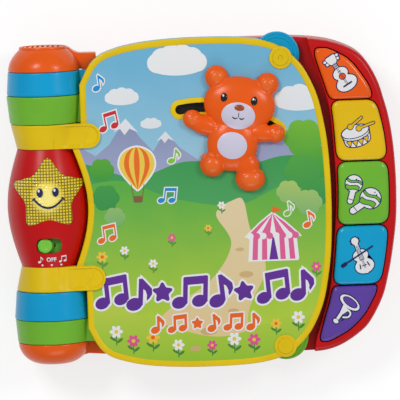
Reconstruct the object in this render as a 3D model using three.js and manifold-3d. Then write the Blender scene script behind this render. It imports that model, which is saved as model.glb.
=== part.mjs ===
// Musical board book: a round spine, a hinged cover and two hinged leaves over a housing with five keys.
// Millimetres, +Z out of the cover, +X away from the spine, +Y to the top of the book.
import * as THREE from 'three';
import { mergeVertices } from 'three/addons/utils/BufferGeometryUtils.js';
import Module from 'manifold-3d';

const wasm = await Module();
wasm.setup();

// Fits
const fit = 0.3;
const keyGap = 1.2;
const wall = 2;

// Spine: everything on it turns about one axis along Y
const axisX = -109.1;
const axisZ = 30;
const barrelHalf = 41.8;
const barrelNeckRadius = 21;
const barrelBulge = 8.6;
const coverRingLength = 18;
const middleRingLength = 20.2;
const outerRingLength = 17;
const ringNearRadius = 21.4;
const ringCoverFarRadius = 25;
const ringMiddleNearRadius = 25.6;
const ringLargestRadius = 27.3;
const ringOuterFarRadius = 25.8;
const ringEdge = 0.8;
const spindleRadius = 18.6;
const spindleWall = 3;
const spindleInBarrel = 3.4;
const spindleFlangeRadius = 21.5;
const spindleFlangeLength = 2;
const turnSegments = 24;

// End caps
const topCapLength = 17.7;
const topCapEndRadius = 16.5;
const bottomCapLength = 16;
const bottomCapEndRadius = 8.5;
const capRadius = 25.4;
const speakerRadius = 18.5;
const speakerDepth = 5;
const speakerSlots = 7;
const lugFromY = 98.5;
const lugToY = 107.5;
const lugEndX = -72;
const lugTop = 28.5;
const lugBottom = 14;

// Housing
const housingFloor = 0;
const housingSplit = 18;
const platformTop = 29.2;
const bezelTop = 40.5;
const shoulder = 4;
const housingLeft = -80.5;
const linkHalf = 32;
const linkBottom = 5;
const screwPlaces = [[-62, 78], [-62, -78], [66, 92], [66, -92]];
const screwShaftRadius = 1.5;
const screwHeadRadius = 3.2;
const screwSeat = 8;
const bossRadius = 5;

// Leaves: a plate with a thin rim round a card print on each face
const blueLeafBottom = 30.3;
const leafThickness = 5.2;
const leafGap = 0.6;
const leafClearance = 0.7;
const coverThickness = 6.2;
const rimWidth = 4.5;
const printThickness = 0.6;
const printInset = 0.4;
const leafTop = 117.4;
const leafRight = 92.3;
const tabRadius = 16;
const tabX = 57;
const blueTabY = 103.3;
const greenTabY = -99;
const bossTopPlace = [59.3, 101.5];
const bossBottomPlace = [56.3, -104.3];
const tabBossRadius = 8;
const strapEndX = -70;
const strapHeight = 1.4;
const strapRim = 1.7;

// Keys
const keyTop = 43.4;
const keyBottom = 35;
const keyTravel = 2;
const keyDome = 2.2;
const windowGap = keyGap / 2 + 0.2;
const channelWall = 1;
const keyCorner = 5;
const keyPillow = 0.3;
const stemRadius = 3;
const keyDivides = [109.5, 69.6, 25.6, -20.2, -63.2, -103.5];
const membraneTop = 28.6;
const membraneBottom = 25.2;

// Star button and mode switch on the barrel
const starY = 11.4;
const starTip = 25.4;
const starNotch = 15.6;
const starRise = 1;
const starWall = 1.4;
const starGap = 0.5;
const starFlange = 1.2;
const knobRadius = 5.2;
const knobTravel = 5.8;
const knobTop = 55.5;
const knobStep = 0.6;
const slotLength = 18.2;
const slotWidth = 11;
const slotFloor = 51;
const slotY = -25.9;
const lampBoardZ = 46;

// Bear and the arched slot that it rocks in
const arcX = 2;
const arcY = -17.7;
const arcRadius = 86;
const arcMiddle = 76;
const arcHalf = 24;
const arcSlotWidth = 7;
const arcRim = 3.4;
const bearPostRadius = 2.6;
const bearPostSpread = 8;
const retainerThickness = 1;

// Batteries, two AA cells side by side
const cellRadius = 7.25;
const cellLength = 50.5;
const cellX = 35;
const cellPitch = 16;
const bayHalfY = 29;

const blueZ = [blueLeafBottom, blueLeafBottom + leafThickness];
const greenZ = [blueZ[1] + leafGap, blueZ[1] + leafGap + leafThickness];
const coverZ = [greenZ[1] + leafGap, greenZ[1] + leafGap + coverThickness];
const middleRingY = barrelHalf + coverRingLength;
const outerRingY = middleRingY + middleRingLength;
const capY = outerRingY + outerRingLength;
const boreRadius = spindleRadius + fit;

const colours = {
  red: 0xbe161e,
  yellow: 0xe1be28,
  orange: 0xf0641e,
  blue: 0x00a5d7,
  green: 0x6eb93c,
  purple: 0x6950a5,
  sky: 0x96cde6,
  lilac: 0xa5aac3,
  meadow: 0x78be64,
  path: 0xe1c896,
  card: 0xf4f0e4,
  amber: 0xf0c83c,
  leafGreen: 0x2f8f4a,
  board: 0x2e6b3a,
  steel: 0xb8bcc0,
  dark: 0x28282c,
  rubber: 0x9a9aa0,
};

const book = new THREE.Group();

function addPart(name, body, colour, roughness = 0.35, metalness = 0) {
  const mesh = body.getMesh();
  const geometry = new THREE.BufferGeometry();
  geometry.setAttribute('position', new THREE.BufferAttribute(mesh.vertProperties, 3));
  geometry.setIndex(new THREE.BufferAttribute(mesh.triVerts, 1));
  geometry.computeVertexNormals();
  const material = new THREE.MeshStandardMaterial({ color: colours[colour], roughness, metalness });
  const part = new THREE.Mesh(geometry, material);
  part.name = name;
  book.add(part);
}

// A closed three.js geometry becomes a solid; flat triangles go, and faces are turned outwards
function solid(geometry) {
  const bare = geometry.clone();
  bare.deleteAttribute('normal');
  bare.deleteAttribute('uv');
  const merged = mergeVertices(bare, 1e-4);
  const corners = merged.attributes.position.array;
  const faces = [];
  let volume = 0;
  const at = (i) => new THREE.Vector3(corners[3 * i], corners[3 * i + 1], corners[3 * i + 2]);
  const index = merged.index.array;
  for (let i = 0; i < index.length; i += 3) {
    const [a, b, c] = [index[i], index[i + 1], index[i + 2]];
    if (a === b || b === c || c === a) continue;
    faces.push([a, b, c]);
    volume += at(a).dot(at(b).cross(at(c)));
  }
  const turned = volume < 0 ? faces.map(([a, b, c]) => [a, c, b]) : faces;
  return new wasm.Manifold(new wasm.Mesh({
    numProp: 3,
    vertProperties: new Float32Array(corners),
    triVerts: new Uint32Array(turned.flat()),
  }));
}

const join = (...bodies) => bodies.reduce((all, body) => all.add(body));
const cut = (body, ...tools) => tools.reduce((left, tool) => left.subtract(tool), body);

function block(x0, x1, y0, y1, z0, z1) {
  const geometry = new THREE.BoxGeometry(x1 - x0, y1 - y0, z1 - z0);
  return solid(geometry.translate((x0 + x1) / 2, (y0 + y1) / 2, (z0 + z1) / 2));
}

function post(x, y, radius, z0, z1, segments = 12) {
  const geometry = new THREE.CylinderGeometry(radius, radius, z1 - z0, segments);
  return solid(geometry.rotateX(Math.PI / 2).translate(x, y, (z0 + z1) / 2));
}

function plate(shape, z0, z1, edge = 0, curveSegments = 8) {
  const settings = {
    depth: z1 - z0 - 2 * edge,
    bevelEnabled: edge > 0,
    bevelSize: edge,
    bevelThickness: edge,
    bevelOffset: -edge,
    bevelSegments: edge > 2 ? 2 : 1,
    curveSegments,
  };
  return solid(new THREE.ExtrudeGeometry(shape, settings).translate(0, 0, z0 + edge));
}

// Turned about the spine axis; profile points are [radius, y] and close on themselves or on the axis
function turn(profile, segments = turnSegments) {
  const points = profile.map(([radius, y]) => new THREE.Vector2(radius, y));
  return solid(new THREE.LatheGeometry(points, segments).translate(axisX, 0, axisZ));
}

// Closed body through outlines of equal point count, from the lowest to the highest: [points, z]
function loft(layers) {
  const count = layers[0][0].length;
  const corners = layers.flatMap(([points, z]) => points.flatMap(([x, y]) => [x, y, z]));
  const index = [];
  for (let k = 0; k + 1 < layers.length; k += 1) {
    for (let i = 0; i < count; i += 1) {
      const [a, b] = [k * count + i, k * count + ((i + 1) % count)];
      index.push(a, b, b + count, a, b + count, a + count);
    }
  }
  const lid = (points) => {
    const flat = points.map(([x, y]) => new THREE.Vector2(x, y));
    return THREE.ShapeUtils.triangulateShape(flat, []);
  };
  const last = (layers.length - 1) * count;
  lid(layers[0][0]).forEach(([a, b, c]) => index.push(a, c, b));
  lid(layers[layers.length - 1][0]).forEach(([a, b, c]) => index.push(last + a, last + b, last + c));
  const geometry = new THREE.BufferGeometry();
  geometry.setAttribute('position', new THREE.Float32BufferAttribute(corners, 3));
  geometry.setIndex(index);
  return solid(geometry);
}

function ellipsoid(x, y, z, rx, ry, rz, columns = 20, rows = 12) {
  return solid(new THREE.SphereGeometry(1, columns, rows).scale(rx, ry, rz).translate(x, y, z));
}

const shapeOf = (points) => new THREE.Shape(points.map(([x, y]) => new THREE.Vector2(x, y)));
const mirrorY = (points) => points.map(([x, y]) => [x, -y]).reverse();

// A smooth line through points, sampled evenly
function smooth(points, count) {
  const curve = new THREE.SplineCurve(points.map(([x, y]) => new THREE.Vector2(x, y)));
  return curve.getPoints(count).map((p) => [p.x, p.y]);
}

// The outline moved sideways by a distance, outwards when positive
function grown(points, distance) {
  const count = points.length;
  return points.map(([x, y], i) => {
    const [px, py] = points[(i + count - 1) % count];
    const [nx, ny] = points[(i + 1) % count];
    const [ax, ay] = [x - px, y - py];
    const [bx, by] = [nx - x, ny - y];
    const la = Math.hypot(ax, ay);
    const lb = Math.hypot(bx, by);
    const mx = ay / la + by / lb;
    const my = -ax / la - bx / lb;
    const lm = Math.hypot(mx, my);
    const reach = distance / Math.max(0.5, lm / 2);
    return [x + (mx / lm) * reach, y + (my / lm) * reach];
  });
}

// Outline of the leaves, anticlockwise: right side and both rounded corners
const leafCorner = [
  [leafRight, 0], [91, 35.6], [87.5, 60.5], [83.3, 77], [76, 92.6], [68, 102.5], [60, 109], [48, 113.8],
  [30, 116.6], [0, leafTop], [-25, 116.6], [-46, 114.3], [-63, 110], [-71.6, 105.6], [-77.6, 99],
];

// Straight left edge, clear of the widest ring while the leaf turns
function leafLeft(lowZ) {
  const rise = lowZ - axisZ;
  return axisX + Math.sqrt((ringLargestRadius + leafClearance) ** 2 - rise * rise);
}

function rightSide(lowZ) {
  const corner = leafCorner.concat([[leafLeft(lowZ), 87]]);
  return smooth(mirrorY(corner).slice(0, -1).concat(corner), 30);
}

// Left edge beside the barrel, set back as the barrel bulges
const barrelRadiusAt = (y) => barrelNeckRadius + barrelBulge * Math.cos((Math.PI * y) / (2 * barrelHalf));
function barrelSide(lowZ, clearance) {
  const points = [];
  for (let i = 0; i <= 8; i += 1) {
    const y = barrelHalf * (1 - i / 4);
    const reach = Math.max(barrelRadiusAt(y) + clearance, 22);
    const rise = Math.max(0, lowZ - axisZ);
    points.push([axisX + Math.sqrt(reach * reach - rise * rise), y]);
  }
  return points;
}

function leafOutline(lowZ, clearance) {
  const left = leafLeft(lowZ);
  return rightSide(lowZ).concat([[left, middleRingY]], barrelSide(lowZ, clearance), [[left, -middleRingY]]);
}

// A hinge ring, from the side nearer the barrel outwards
function ring(side, from, to, nearRadius, farRadius) {
  const y0 = from + fit / 2;
  const y1 = to - fit / 2;
  const profile = [
    [0, y0], [nearRadius - ringEdge, y0], [nearRadius, y0 + ringEdge],
    [farRadius, y1 - ringEdge], [farRadius - ringEdge, y1], [0, y1],
  ];
  return turn(profile.map(([r, y]) => [r, side * y]));
}

// Neck that joins a ring to its plate
function neck(side, from, to, zs) {
  const ends = [side * (from + fit / 2), side * (to - fit / 2)];
  return block(axisX + 4, leafLeft(zs[0]) + 3, Math.min(...ends), Math.max(...ends), zs[0], zs[1]);
}

const bore = turn([[0, -capY - 5], [boreRadius, -capY - 5], [boreRadius, capY + 5], [0, capY + 5]]);

// Plate with its two rings; bands lists [side, from, to, near radius, far radius]
function leafBody(zs, clearance, bands, extras) {
  const plateBody = plate(shapeOf(leafOutline(zs[0], clearance)), zs[0], zs[1], 1);
  const rings = bands.map((band) => join(ring(...band), neck(band[0], band[1], band[2], zs)));
  return cut(join(plateBody, ...rings, ...extras), bore);
}

function printPocket(outline, z0, z1) {
  return plate(shapeOf(grown(outline, -rimWidth)), z0, z1);
}

function printSheet(outline, z0) {
  return plate(shapeOf(grown(outline, -rimWidth - fit)), z0, z0 + printThickness);
}

const pocketDepth = printThickness + fit + printInset;
const middleNear = [middleRingY, outerRingY];
const outerBand = [outerRingY, capY];
const middleRadii = [ringMiddleNearRadius, ringLargestRadius];
const outerRadii = [ringLargestRadius - 0.4, ringOuterFarRadius];

function tab(x, y, radius, zs) {
  return join(post(x, y, radius, zs[0] + 0.6, zs[1] - 0.6, 30), post(x, y, radius - 0.6, zs[0], zs[1], 30));
}

function addLeaf(name, colour, zs, bands, tabY) {
  const outline = leafOutline(zs[0], 1.4);
  const body = leafBody(zs, 1.4, bands, [tab(tabX, tabY, tabRadius, zs)]);
  const pockets = [
    printPocket(outline, zs[1] - pocketDepth, zs[1] + 1),
    printPocket(outline, zs[0] - 1, zs[0] + pocketDepth),
  ];
  addPart(`${name}_frame`, cut(body, ...pockets), colour);
  addPart(`${name}_front_print`, printSheet(outline, zs[1] - pocketDepth + fit), 'card', 0.5);
  addPart(`${name}_back_print`, printSheet(outline, zs[0] + printInset), 'card', 0.5);
}

// An arc-shaped strip about the bear's centre of rocking
function arcStrip(halfAngle, width, z0, z1) {
  const points = [];
  const steps = 7;
  const end = width / 2;
  const rad = Math.PI / 180;
  for (let i = 0; i <= steps; i += 1) {
    const angle = (arcMiddle - halfAngle + (2 * halfAngle * i) / steps) * rad;
    points.push([arcX + (arcRadius + end) * Math.cos(angle), arcY + (arcRadius + end) * Math.sin(angle)]);
  }
  for (const side of [1, -1]) {
    const angle = (arcMiddle + side * halfAngle) * rad;
    const centre = [arcX + arcRadius * Math.cos(angle), arcY + arcRadius * Math.sin(angle)];
    for (let i = 1; i < 4; i += 1) {
      const turnBy = angle + (side > 0 ? 0 : Math.PI) + (Math.PI * i) / 4;
      points.push([centre[0] + end * Math.cos(turnBy), centre[1] + end * Math.sin(turnBy)]);
    }
    if (side > 0) {
      for (let j = 0; j <= steps; j += 1) {
        const back = (arcMiddle + halfAngle - (2 * halfAngle * j) / steps) * rad;
        points.push([arcX + (arcRadius - end) * Math.cos(back), arcY + (arcRadius - end) * Math.sin(back)]);
      }
    }
  }
  return plate(shapeOf(points), z0, z1);
}

function onArc(degrees, radius = arcRadius) {
  const angle = (degrees * Math.PI) / 180;
  return [arcX + radius * Math.cos(angle), arcY + radius * Math.sin(angle)];
}

// Strap that the ring's band lays over the cover face, with a raised border and a rounded end
function strap(side) {
  const middle = side * (barrelHalf + coverRingLength / 2);
  const half = coverRingLength / 2 - fit;
  const outline = (by) => {
    const shape = new THREE.Shape();
    const end = strapEndX - half;
    shape.moveTo(axisX + 10 - by, middle - half + by);
    shape.lineTo(end, middle - half + by);
    shape.absarc(end, middle, half - by, -Math.PI / 2, Math.PI / 2, false);
    shape.lineTo(axisX + 10 - by, middle + half - by);
    return shape;
  };
  const top = coverZ[1] + strapHeight;
  const raised = plate(outline(0), coverZ[1] - 2, top, 0.5, 10);
  const overRing = block(axisX, leafLeft(coverZ[0]) - 4, -200, 200, 0, 100);
  return cut(raised, cut(plate(outline(strapRim), top - 0.9, top + 1, 0, 10), overRing));
}

function addCover() {
  const outline = leafOutline(coverZ[0], 1.2);
  const bands = [1, -1].map((side) => [side, barrelHalf, middleRingY, ringNearRadius, ringCoverFarRadius]);
  const places = [bossTopPlace, bossBottomPlace];
  const bosses = places.map(([x, y]) => join(
    post(x, y, tabBossRadius, coverZ[0] + 1, coverZ[1] + 0.4, 32),
    post(x, y, tabBossRadius - 2.4, coverZ[0] + 1, coverZ[1] + 1.3, 28),
  ));
  const body = leafBody(coverZ, 1.2, bands, bosses);
  const frontPocket = cut(
    printPocket(outline, coverZ[1] - pocketDepth, coverZ[1] + 5),
    ...places.map(([x, y]) => post(x, y, tabBossRadius, 0, 100, 32)),
    arcStrip(arcHalf, arcSlotWidth + 2 * arcRim, coverZ[1] - 10, coverZ[1] + 10),
  );
  const backPocket = printPocket(outline, coverZ[0] - 1, coverZ[0] + pocketDepth);
  const slot = arcStrip(arcHalf, arcSlotWidth, coverZ[0], coverZ[1] + 5);
  const slideTop = coverZ[0] + pocketDepth + retainerThickness + 2 * fit;
  const slide = arcStrip(arcHalf + 1, arcSlotWidth + 5, coverZ[0] - 1, slideTop);
  const [bossX, bossY] = bossTopPlace;
  const recess = block(bossX - 1.6, bossX + 1.6, bossY - 1.6, bossY + 1.6, coverZ[1] + 0.5, coverZ[1] + 3);
  const bare = cut(body, frontPocket, backPocket, slot, slide, recess);
  addPart('cover_frame', cut(join(bare, strap(1), strap(-1)), bore), 'yellow');
  addCoverPrint(outline);
  const backZ = coverZ[0] + printInset;
  addPart('cover_back_print', printSheet(outline, backZ), 'card', 0.5);
}

// Front print, in four fields of colour cut from one sheet
const meadowLine = [[-100, 8], [-60, 16], [-20, 2], [25, -4], [60, 10], [110, 24]];
const ridgeLine = [[-100, 30], [-66, 52], [-44, 38], [-12, 72], [14, 46], [40, 60], [66, 40], [110, 56]];
const pathEdge = [
  [40, -130], [30, -84], [44, -48], [34, -20], [30, 4], [22, 8],
  [8, -6], [20, -30], [4, -56], [-34, -84], [-40, -130],
];

function addCoverPrint(outline) {
  const z = coverZ[1] - pocketDepth + fit;
  const keepOut = [
    ...[bossTopPlace, bossBottomPlace].map(([x, y]) => post(x, y, tabBossRadius + fit, z - 1, z + 2, 32)),
    arcStrip(arcHalf, arcSlotWidth + 2 * arcRim + 2 * fit, z - 1, z + 2),
    ...[1, -1].map((side) => strapShadow(side, z)),
  ];
  const sheet = cut(printSheet(outline, z), ...keepOut);
  const through = (points) => plate(shapeOf(points), z - 1, z + 2);
  const raised = (line) => line.map(([x, y]) => [x, y + fit]);
  const above = (line) => through([...raised(line), [120, 150], [-120, 150]]);
  const below = (line) => through([[-120, -150], [120, -150], ...[...line].reverse()]);
  const meadowEdge = smooth(meadowLine, 24);
  const pathShape = smooth(pathEdge, 40);
  const low = sheet.intersect(below(meadowEdge));
  addPart('cover_print_sky', largest(sheet.intersect(above(ridgeLine))), 'sky', 0.45);
  const mountains = sheet.intersect(below(ridgeLine)).intersect(above(meadowEdge));
  addPart('cover_print_mountains', largest(mountains), 'lilac', 0.45);
  const meadows = bySize(cut(low, through(grown(pathShape, fit))));
  addPart('cover_print_meadow', meadows[0], 'meadow', 0.45);
  addPart('cover_print_lawn', meadows[1], 'meadow', 0.45);
  addPart('cover_print_path', largest(low.intersect(through(pathShape))), 'path', 0.45);
}

function strapShadow(side, z) {
  const middle = side * (barrelHalf + coverRingLength / 2);
  const half = coverRingLength / 2;
  const shape = new THREE.Shape();
  shape.moveTo(axisX, middle - half);
  shape.lineTo(strapEndX - half, middle - half);
  shape.absarc(strapEndX - half, middle, half, -Math.PI / 2, Math.PI / 2, false);
  shape.lineTo(axisX, middle + half);
  return plate(shape, z - 1, z + 2, 0, 10);
}

const bySize = (body) => body.decompose().sort((a, b) => b.volume() - a.volume());
const largest = (body) => bySize(body)[0];

// Barrel shell: outside radius grown by a distance, closed to the axis
function barrelBody(grow, half = barrelHalf - fit / 2) {
  const profile = [[0, -half]];
  for (let i = 0; i <= 8; i += 1) {
    const y = -half + (2 * half * i) / 8;
    profile.push([barrelRadiusAt(y) + grow, y]);
  }
  profile.push([0, half]);
  return turn(profile);
}

// Space inside the barrel, between its two end walls
const barrelEndWall = 3;
const barrelReach = 30;
function barrelRoom() {
  const ends = [1, -1].map((side) => {
    const [inner, outer] = [side * (barrelHalf - barrelEndWall), side * (barrelHalf + 1)];
    return turn([[0, inner], [barrelReach, inner], [barrelReach, outer], [0, outer]]);
  });
  return cut(barrelBody(-wall), ...ends);
}

const spindleRoom = turn([[0, -200], [boreRadius, -200], [boreRadius, 200], [0, 200]]);
const starMiddle = [axisX, starY];

function starOutline(grow) {
  const points = [];
  for (let i = 0; i < 10; i += 1) {
    const angle = Math.PI / 2 + (i * Math.PI) / 5;
    const radius = i % 2 ? starNotch : starTip;
    points.push([starMiddle[0] + radius * Math.cos(angle), starMiddle[1] + radius * Math.sin(angle)]);
  }
  const shape = new THREE.Shape();
  const moved = grown(points, grow);
  moved.forEach((point, i) => {
    const before = moved[(i + 9) % 10];
    const after = moved[(i + 1) % 10];
    const share = i % 2 ? 0.2 : 0.3;
    const start = [point[0] + (before[0] - point[0]) * share, point[1] + (before[1] - point[1]) * share];
    const end = [point[0] + (after[0] - point[0]) * share, point[1] + (after[1] - point[1]) * share];
    if (i === 0) shape.moveTo(...start);
    else shape.lineTo(...start);
    shape.quadraticCurveTo(point[0], point[1], end[0], end[1]);
  });
  return shape;
}

const starPrism = (grow) => plate(starOutline(grow), axisZ + 4, axisZ + 40, 0, 4);

function roundSlot(x, y, length, width, z0, z1, segments = 8) {
  const shape = new THREE.Shape();
  const end = Math.min(width / 2, 3);
  const [hx, hy] = [length / 2 - end, width / 2 - end];
  shape.absarc(x + hx, y + hy, end, 0, Math.PI / 2, false);
  shape.absarc(x - hx, y + hy, end, Math.PI / 2, Math.PI, false);
  shape.absarc(x - hx, y - hy, end, Math.PI, 1.5 * Math.PI, false);
  shape.absarc(x + hx, y - hy, end, 1.5 * Math.PI, 2 * Math.PI, false);
  return plate(shape, z0, z1, 0, segments);
}

// Parts on the barrel: its front shell, the star, the lamp board and the sliding switch
const boardRibs = [-17.5, -35];
const boardHalfX = 11;
const boardThickness = 1.6;
const switchHalf = [8, 4.2];
const slideSlot = 3.4;
const pocketSkin = 1.4;
const knobX = axisX - knobTravel / 2;

function addBarrel() {
  const upper = block(-160, -60, -60, 60, axisZ + fit / 2, 80);
  const [pocketLength, pocketWidth] = [slotLength + 2 * pocketSkin, slotWidth + 2 * pocketSkin];
  const pocketWall = roundSlot(axisX, slotY, pocketLength, pocketWidth, slotFloor - pocketSkin, 70);
  const [boardLeft, boardRight] = [axisX - boardHalfX, axisX + boardHalfX];
  const boardTop = lampBoardZ + boardThickness;
  const ribs = boardRibs.map((y) => block(boardLeft, boardRight, y - 1, y + 1, boardTop + fit, 60));
  const hull = cut(barrelBody(0), cut(barrelRoom(), pocketWall, ...ribs));
  const front = cut(
    hull.intersect(upper),
    roundSlot(axisX, slotY, slotLength, slotWidth, slotFloor, 70),
    roundSlot(axisX, slotY, knobTravel + slideSlot, slideSlot, slotFloor - 5, 70),
    starPrism(starGap),
    spindleRoom,
  );
  addPart('barrel_front', largest(front), 'red');

  const starTop = barrelBody(starRise, barrelHalf - fit / 2).intersect(starPrism(0));
  const starRoom = barrelBody(-wall - starGap - starWall);
  const flange = cut(barrelBody(-wall - starGap).intersect(starPrism(starFlange)), starRoom);
  const star = cut(starTop, starRoom);
  addPart('star_button', join(star, flange), 'amber', 0.2);

  const lamp = ellipsoid(axisX, starY - 2, boardTop, 2.5, 2.5, 4.4, 12, 8);
  const boardFrom = boardRibs[1] - 1;
  const lampBoard = block(boardLeft, boardRight, boardFrom, starY + 2, lampBoardZ, boardTop);
  addPart('lamp_board', join(lampBoard, lamp), 'board', 0.5);
  const [switchX, switchY] = switchHalf;
  const switchTop = slotFloor - pocketSkin - fit;
  const body = block(
    axisX - switchX, axisX + switchX, slotY - switchY, slotY + switchY, boardTop + fit / 3, switchTop,
  );
  const reach = 2.2;
  const slider = block(
    knobX - reach, knobX + knobTravel + reach, slotY - reach, slotY + reach, slotFloor - 2.6, slotFloor,
  );
  addPart('mode_switch', cut(body, slider), 'dark', 0.5);
  const knob = join(
    post(knobX, slotY, knobRadius, slotFloor + fit, knobTop - knobStep, 28),
    post(knobX, slotY, knobRadius - 0.8, slotFloor + fit, knobTop, 28),
    post(knobX, slotY, slideSlot / 2 - fit, slotFloor - 2.2, slotFloor + 2, 12),
  );
  addPart('mode_knob', knob, 'green');
}

// Spindles that carry the rings, and the end caps
const speakerRest = 103.5;
const speakerFront = speakerRest + fit + speakerDepth;

function addSpindle(name, side) {
  const inside = barrelHalf - spindleInBarrel;
  const hole = spindleRadius - spindleWall;
  const flangeY = capY + fit / 2;
  const end = flangeY + spindleFlangeLength;
  const profile = [
    [hole, inside], [spindleRadius, inside], [spindleRadius, flangeY],
    [spindleFlangeRadius, flangeY], [spindleFlangeRadius, end], [hole, end], [hole, inside],
  ];
  addPart(name, turn(profile.map(([r, y]) => [r, side * y])), 'dark', 0.45);
}

function lug(side, grow) {
  const [y0, y1] = side > 0 ? [lugFromY, lugToY] : [-lugToY, -lugFromY];
  return block(axisX + 16, lugEndX + grow, y0 - grow, y1 + grow, lugBottom - grow, lugTop + grow);
}

function addCap(name, side, length, endRadius) {
  const y0 = capY + fit / 2;
  const end = capY + length;
  const round = length * 0.62;
  const outside = [[0, y0], [capRadius - 0.5, y0], [capRadius, y0 + 0.6]];
  for (let i = 0; i <= 5; i += 1) {
    const angle = (i / 5) * (Math.PI / 2);
    const radius = endRadius + (capRadius - endRadius) * Math.cos(angle);
    outside.push([radius, end - round + round * Math.sin(angle)]);
  }
  outside.push([0, end]);
  const floorY = end - wall;
  const flangeRoom = spindleFlangeRadius + fit;
  const speakerRoom = speakerRadius + fit;
  const room = [
    [0, y0 - 1], [flangeRoom, y0 - 1], [flangeRoom, y0 + spindleFlangeLength + fit],
    [speakerRoom, speakerRest + 1], [speakerRoom, Math.min(floorY - 3, speakerFront + 0.2)],
    [endRadius - wall, floorY], [0, floorY],
  ];
  const mirrored = (profile) => profile.map(([r, y]) => [r, side * y]);
  const cup = turn(mirrored(outside));
  const hollow = turn(mirrored(room));
  const tools = [hollow];
  if (side > 0) {
    for (let i = 0; i < speakerSlots; i += 1) {
      const x = axisX + (i - (speakerSlots - 1) / 2) * 3.6;
      tools.push(block(x - 0.8, x + 0.8, floorY - 2, end + 1, axisZ - 9, axisZ + 9));
    }
  }
  const core = [[0, y0 - 30], [capRadius - 1, y0 - 30], [capRadius - 1, end + 30], [0, end + 30]];
  const arm = cut(lug(side, 0), turn(mirrored(core)));
  addPart(name, largest(cut(join(cup, arm), ...tools)), 'orange');
}

function addSpeaker() {
  const back = speakerRest + fit;
  const magnetRadius = 9;
  const frameThickness = 1.4;
  const coneDepth = 2.4;
  const profile = [
    [0, back], [magnetRadius, back], [magnetRadius, back + 1],
    [speakerRadius, speakerFront - frameThickness], [speakerRadius, speakerFront],
    [speakerRadius - 3, speakerFront], [8, speakerFront - coneDepth], [0, speakerFront - coneDepth],
  ];
  addPart('speaker', turn(profile), 'dark', 0.5);
}

// Housing outline: right side anticlockwise, then the top, the spine side and the bottom
const housingPoints = [
  [66.6, -110.6], [83.8, -110], [96.8, -106.1], [109.9, -97.9], [118, -89.6], [127.1, -72.7],
  [131.9, -55.7], [135.3, -38.6], [138.3, -17], [139.2, 4], [138.8, 22], [137.6, 38.6], [135.2, 55.8],
  [132, 68.8], [128.1, 81.8], [121.3, 94.9], [113, 103.7], [99.3, 110], [84.6, 113.4], [66, 115],
];
const housingCornerTop = [[0, 115.2], [-46, 112.4], [-63, 108.3], [-72, 103.4], [-77.6, 96], [housingLeft, 86]];
const housingCornerBottom = [
  [housingLeft, -84], [-77.6, -94], [-72, -101.2], [-63, -105.8], [-46, -108.6], [0, -110.4],
];
const housingOutline = [
  ...smooth(housingPoints, 34), ...smooth(housingCornerTop, 8), ...smooth(housingCornerBottom, 8),
];

// Keys follow a strip between two curved edges
const keyLeftEdge = [
  [80, -104], [85.5, -86], [91.6, -63], [96.3, -20], [97.8, 4],
  [97.3, 26], [95.2, 60], [91.7, 76], [85, 98], [81, 112],
];
const keyRightEdge = [
  [78, -104.4], [88, -102.2], [97, -98.4], [105, -92.8], [113.5, -84], [120, -73], [125.2, -62],
  [129.6, -42], [132.2, -20], [133.4, 2], [132.8, 25], [130.9, 46], [126.9, 68], [122.6, 80],
  [117.4, 90], [110.6, 98.4], [101.2, 105.6], [90.8, 109.2], [80, 110.4],
];
// The raised bezel keeps clear of the pages by a channel beside the keys
const channelSide = keyLeftEdge.map(([x, y]) => [x - windowGap - channelWall, y]);
const wellOutline = smooth([[76, -130], ...channelSide, [78, 135]], 22).concat([[-140, 135], [-140, -130]]);

const leftCurve = smooth(keyLeftEdge, 160);
const rightCurve = smooth(keyRightEdge, 240);

// Part of a curve between two heights, thinned out
function stretch(curve, from, to, count) {
  const inside = curve.filter(([, y]) => y > from && y < to);
  const picked = [];
  for (let i = 0; i < count; i += 1) picked.push(inside[Math.round((i * (inside.length - 1)) / (count - 1))]);
  return picked;
}

function crossing(curve, y) {
  const i = curve.findIndex((point) => point[1] >= y);
  const [a, b] = [curve[Math.max(i - 1, 0)], curve[Math.max(i, 1)]];
  return a[0] + ((b[0] - a[0]) * (y - a[1])) / (b[1] - a[1] || 1);
}

// Corner points of a key band, anticlockwise from the lower left
function bandPoints(bottom, top) {
  const right = stretch(rightCurve, bottom + keyCorner, top - keyCorner, 5);
  const left = stretch(leftCurve, bottom + keyCorner, top - keyCorner, 3).reverse();
  return { right, left, bottom, top };
}

// Outline of a key: its band of the strip with four rounded corners
function keyOutline({ right, left, bottom, top }, grow) {
  const corners = [
    [crossing(leftCurve, bottom + 1), bottom], [crossing(rightCurve, bottom + 1), bottom],
    [crossing(rightCurve, top - 1), top], [crossing(leftCurve, top - 1), top],
  ];
  const narrow = Math.min(corners[1][0] - corners[0][0], corners[2][0] - corners[3][0]);
  const corner = Math.min(keyCorner, narrow / 3);
  const arc = (from, over, to) => {
    const curve = new THREE.QuadraticBezierCurve(...[from, over, to].map(([x, y]) => new THREE.Vector2(x, y)));
    return curve.getPoints(3).map((p) => [p.x, p.y]);
  };
  const points = [
    ...arc([corners[1][0] - corner, bottom], corners[1], right[0]),
    ...right.slice(1, -1),
    ...arc(right[right.length - 1], corners[2], [corners[2][0] - corner, top]),
    ...arc([corners[3][0] + corner, top], corners[3], left[0]),
    ...left.slice(1, -1),
    ...arc(left[left.length - 1], corners[0], [corners[0][0] + corner, bottom]),
  ];
  return grow ? grown(points, grow) : points;
}

const keyNames = ['key_guitar', 'key_drum', 'key_maracas', 'key_violin', 'key_trumpet'];
const keyColours = ['orange', 'yellow', 'green', 'blue', 'purple'];
const halfGap = keyGap / 2;
const keyBands = keyNames.map((name, i) => bandPoints(keyDivides[i + 1] + halfGap, keyDivides[i] - halfGap));

function keyMiddle({ bottom, top }) {
  const y = (bottom + top) / 2;
  return [(crossing(leftCurve, y) + crossing(rightCurve, y)) / 2, y];
}

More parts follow.
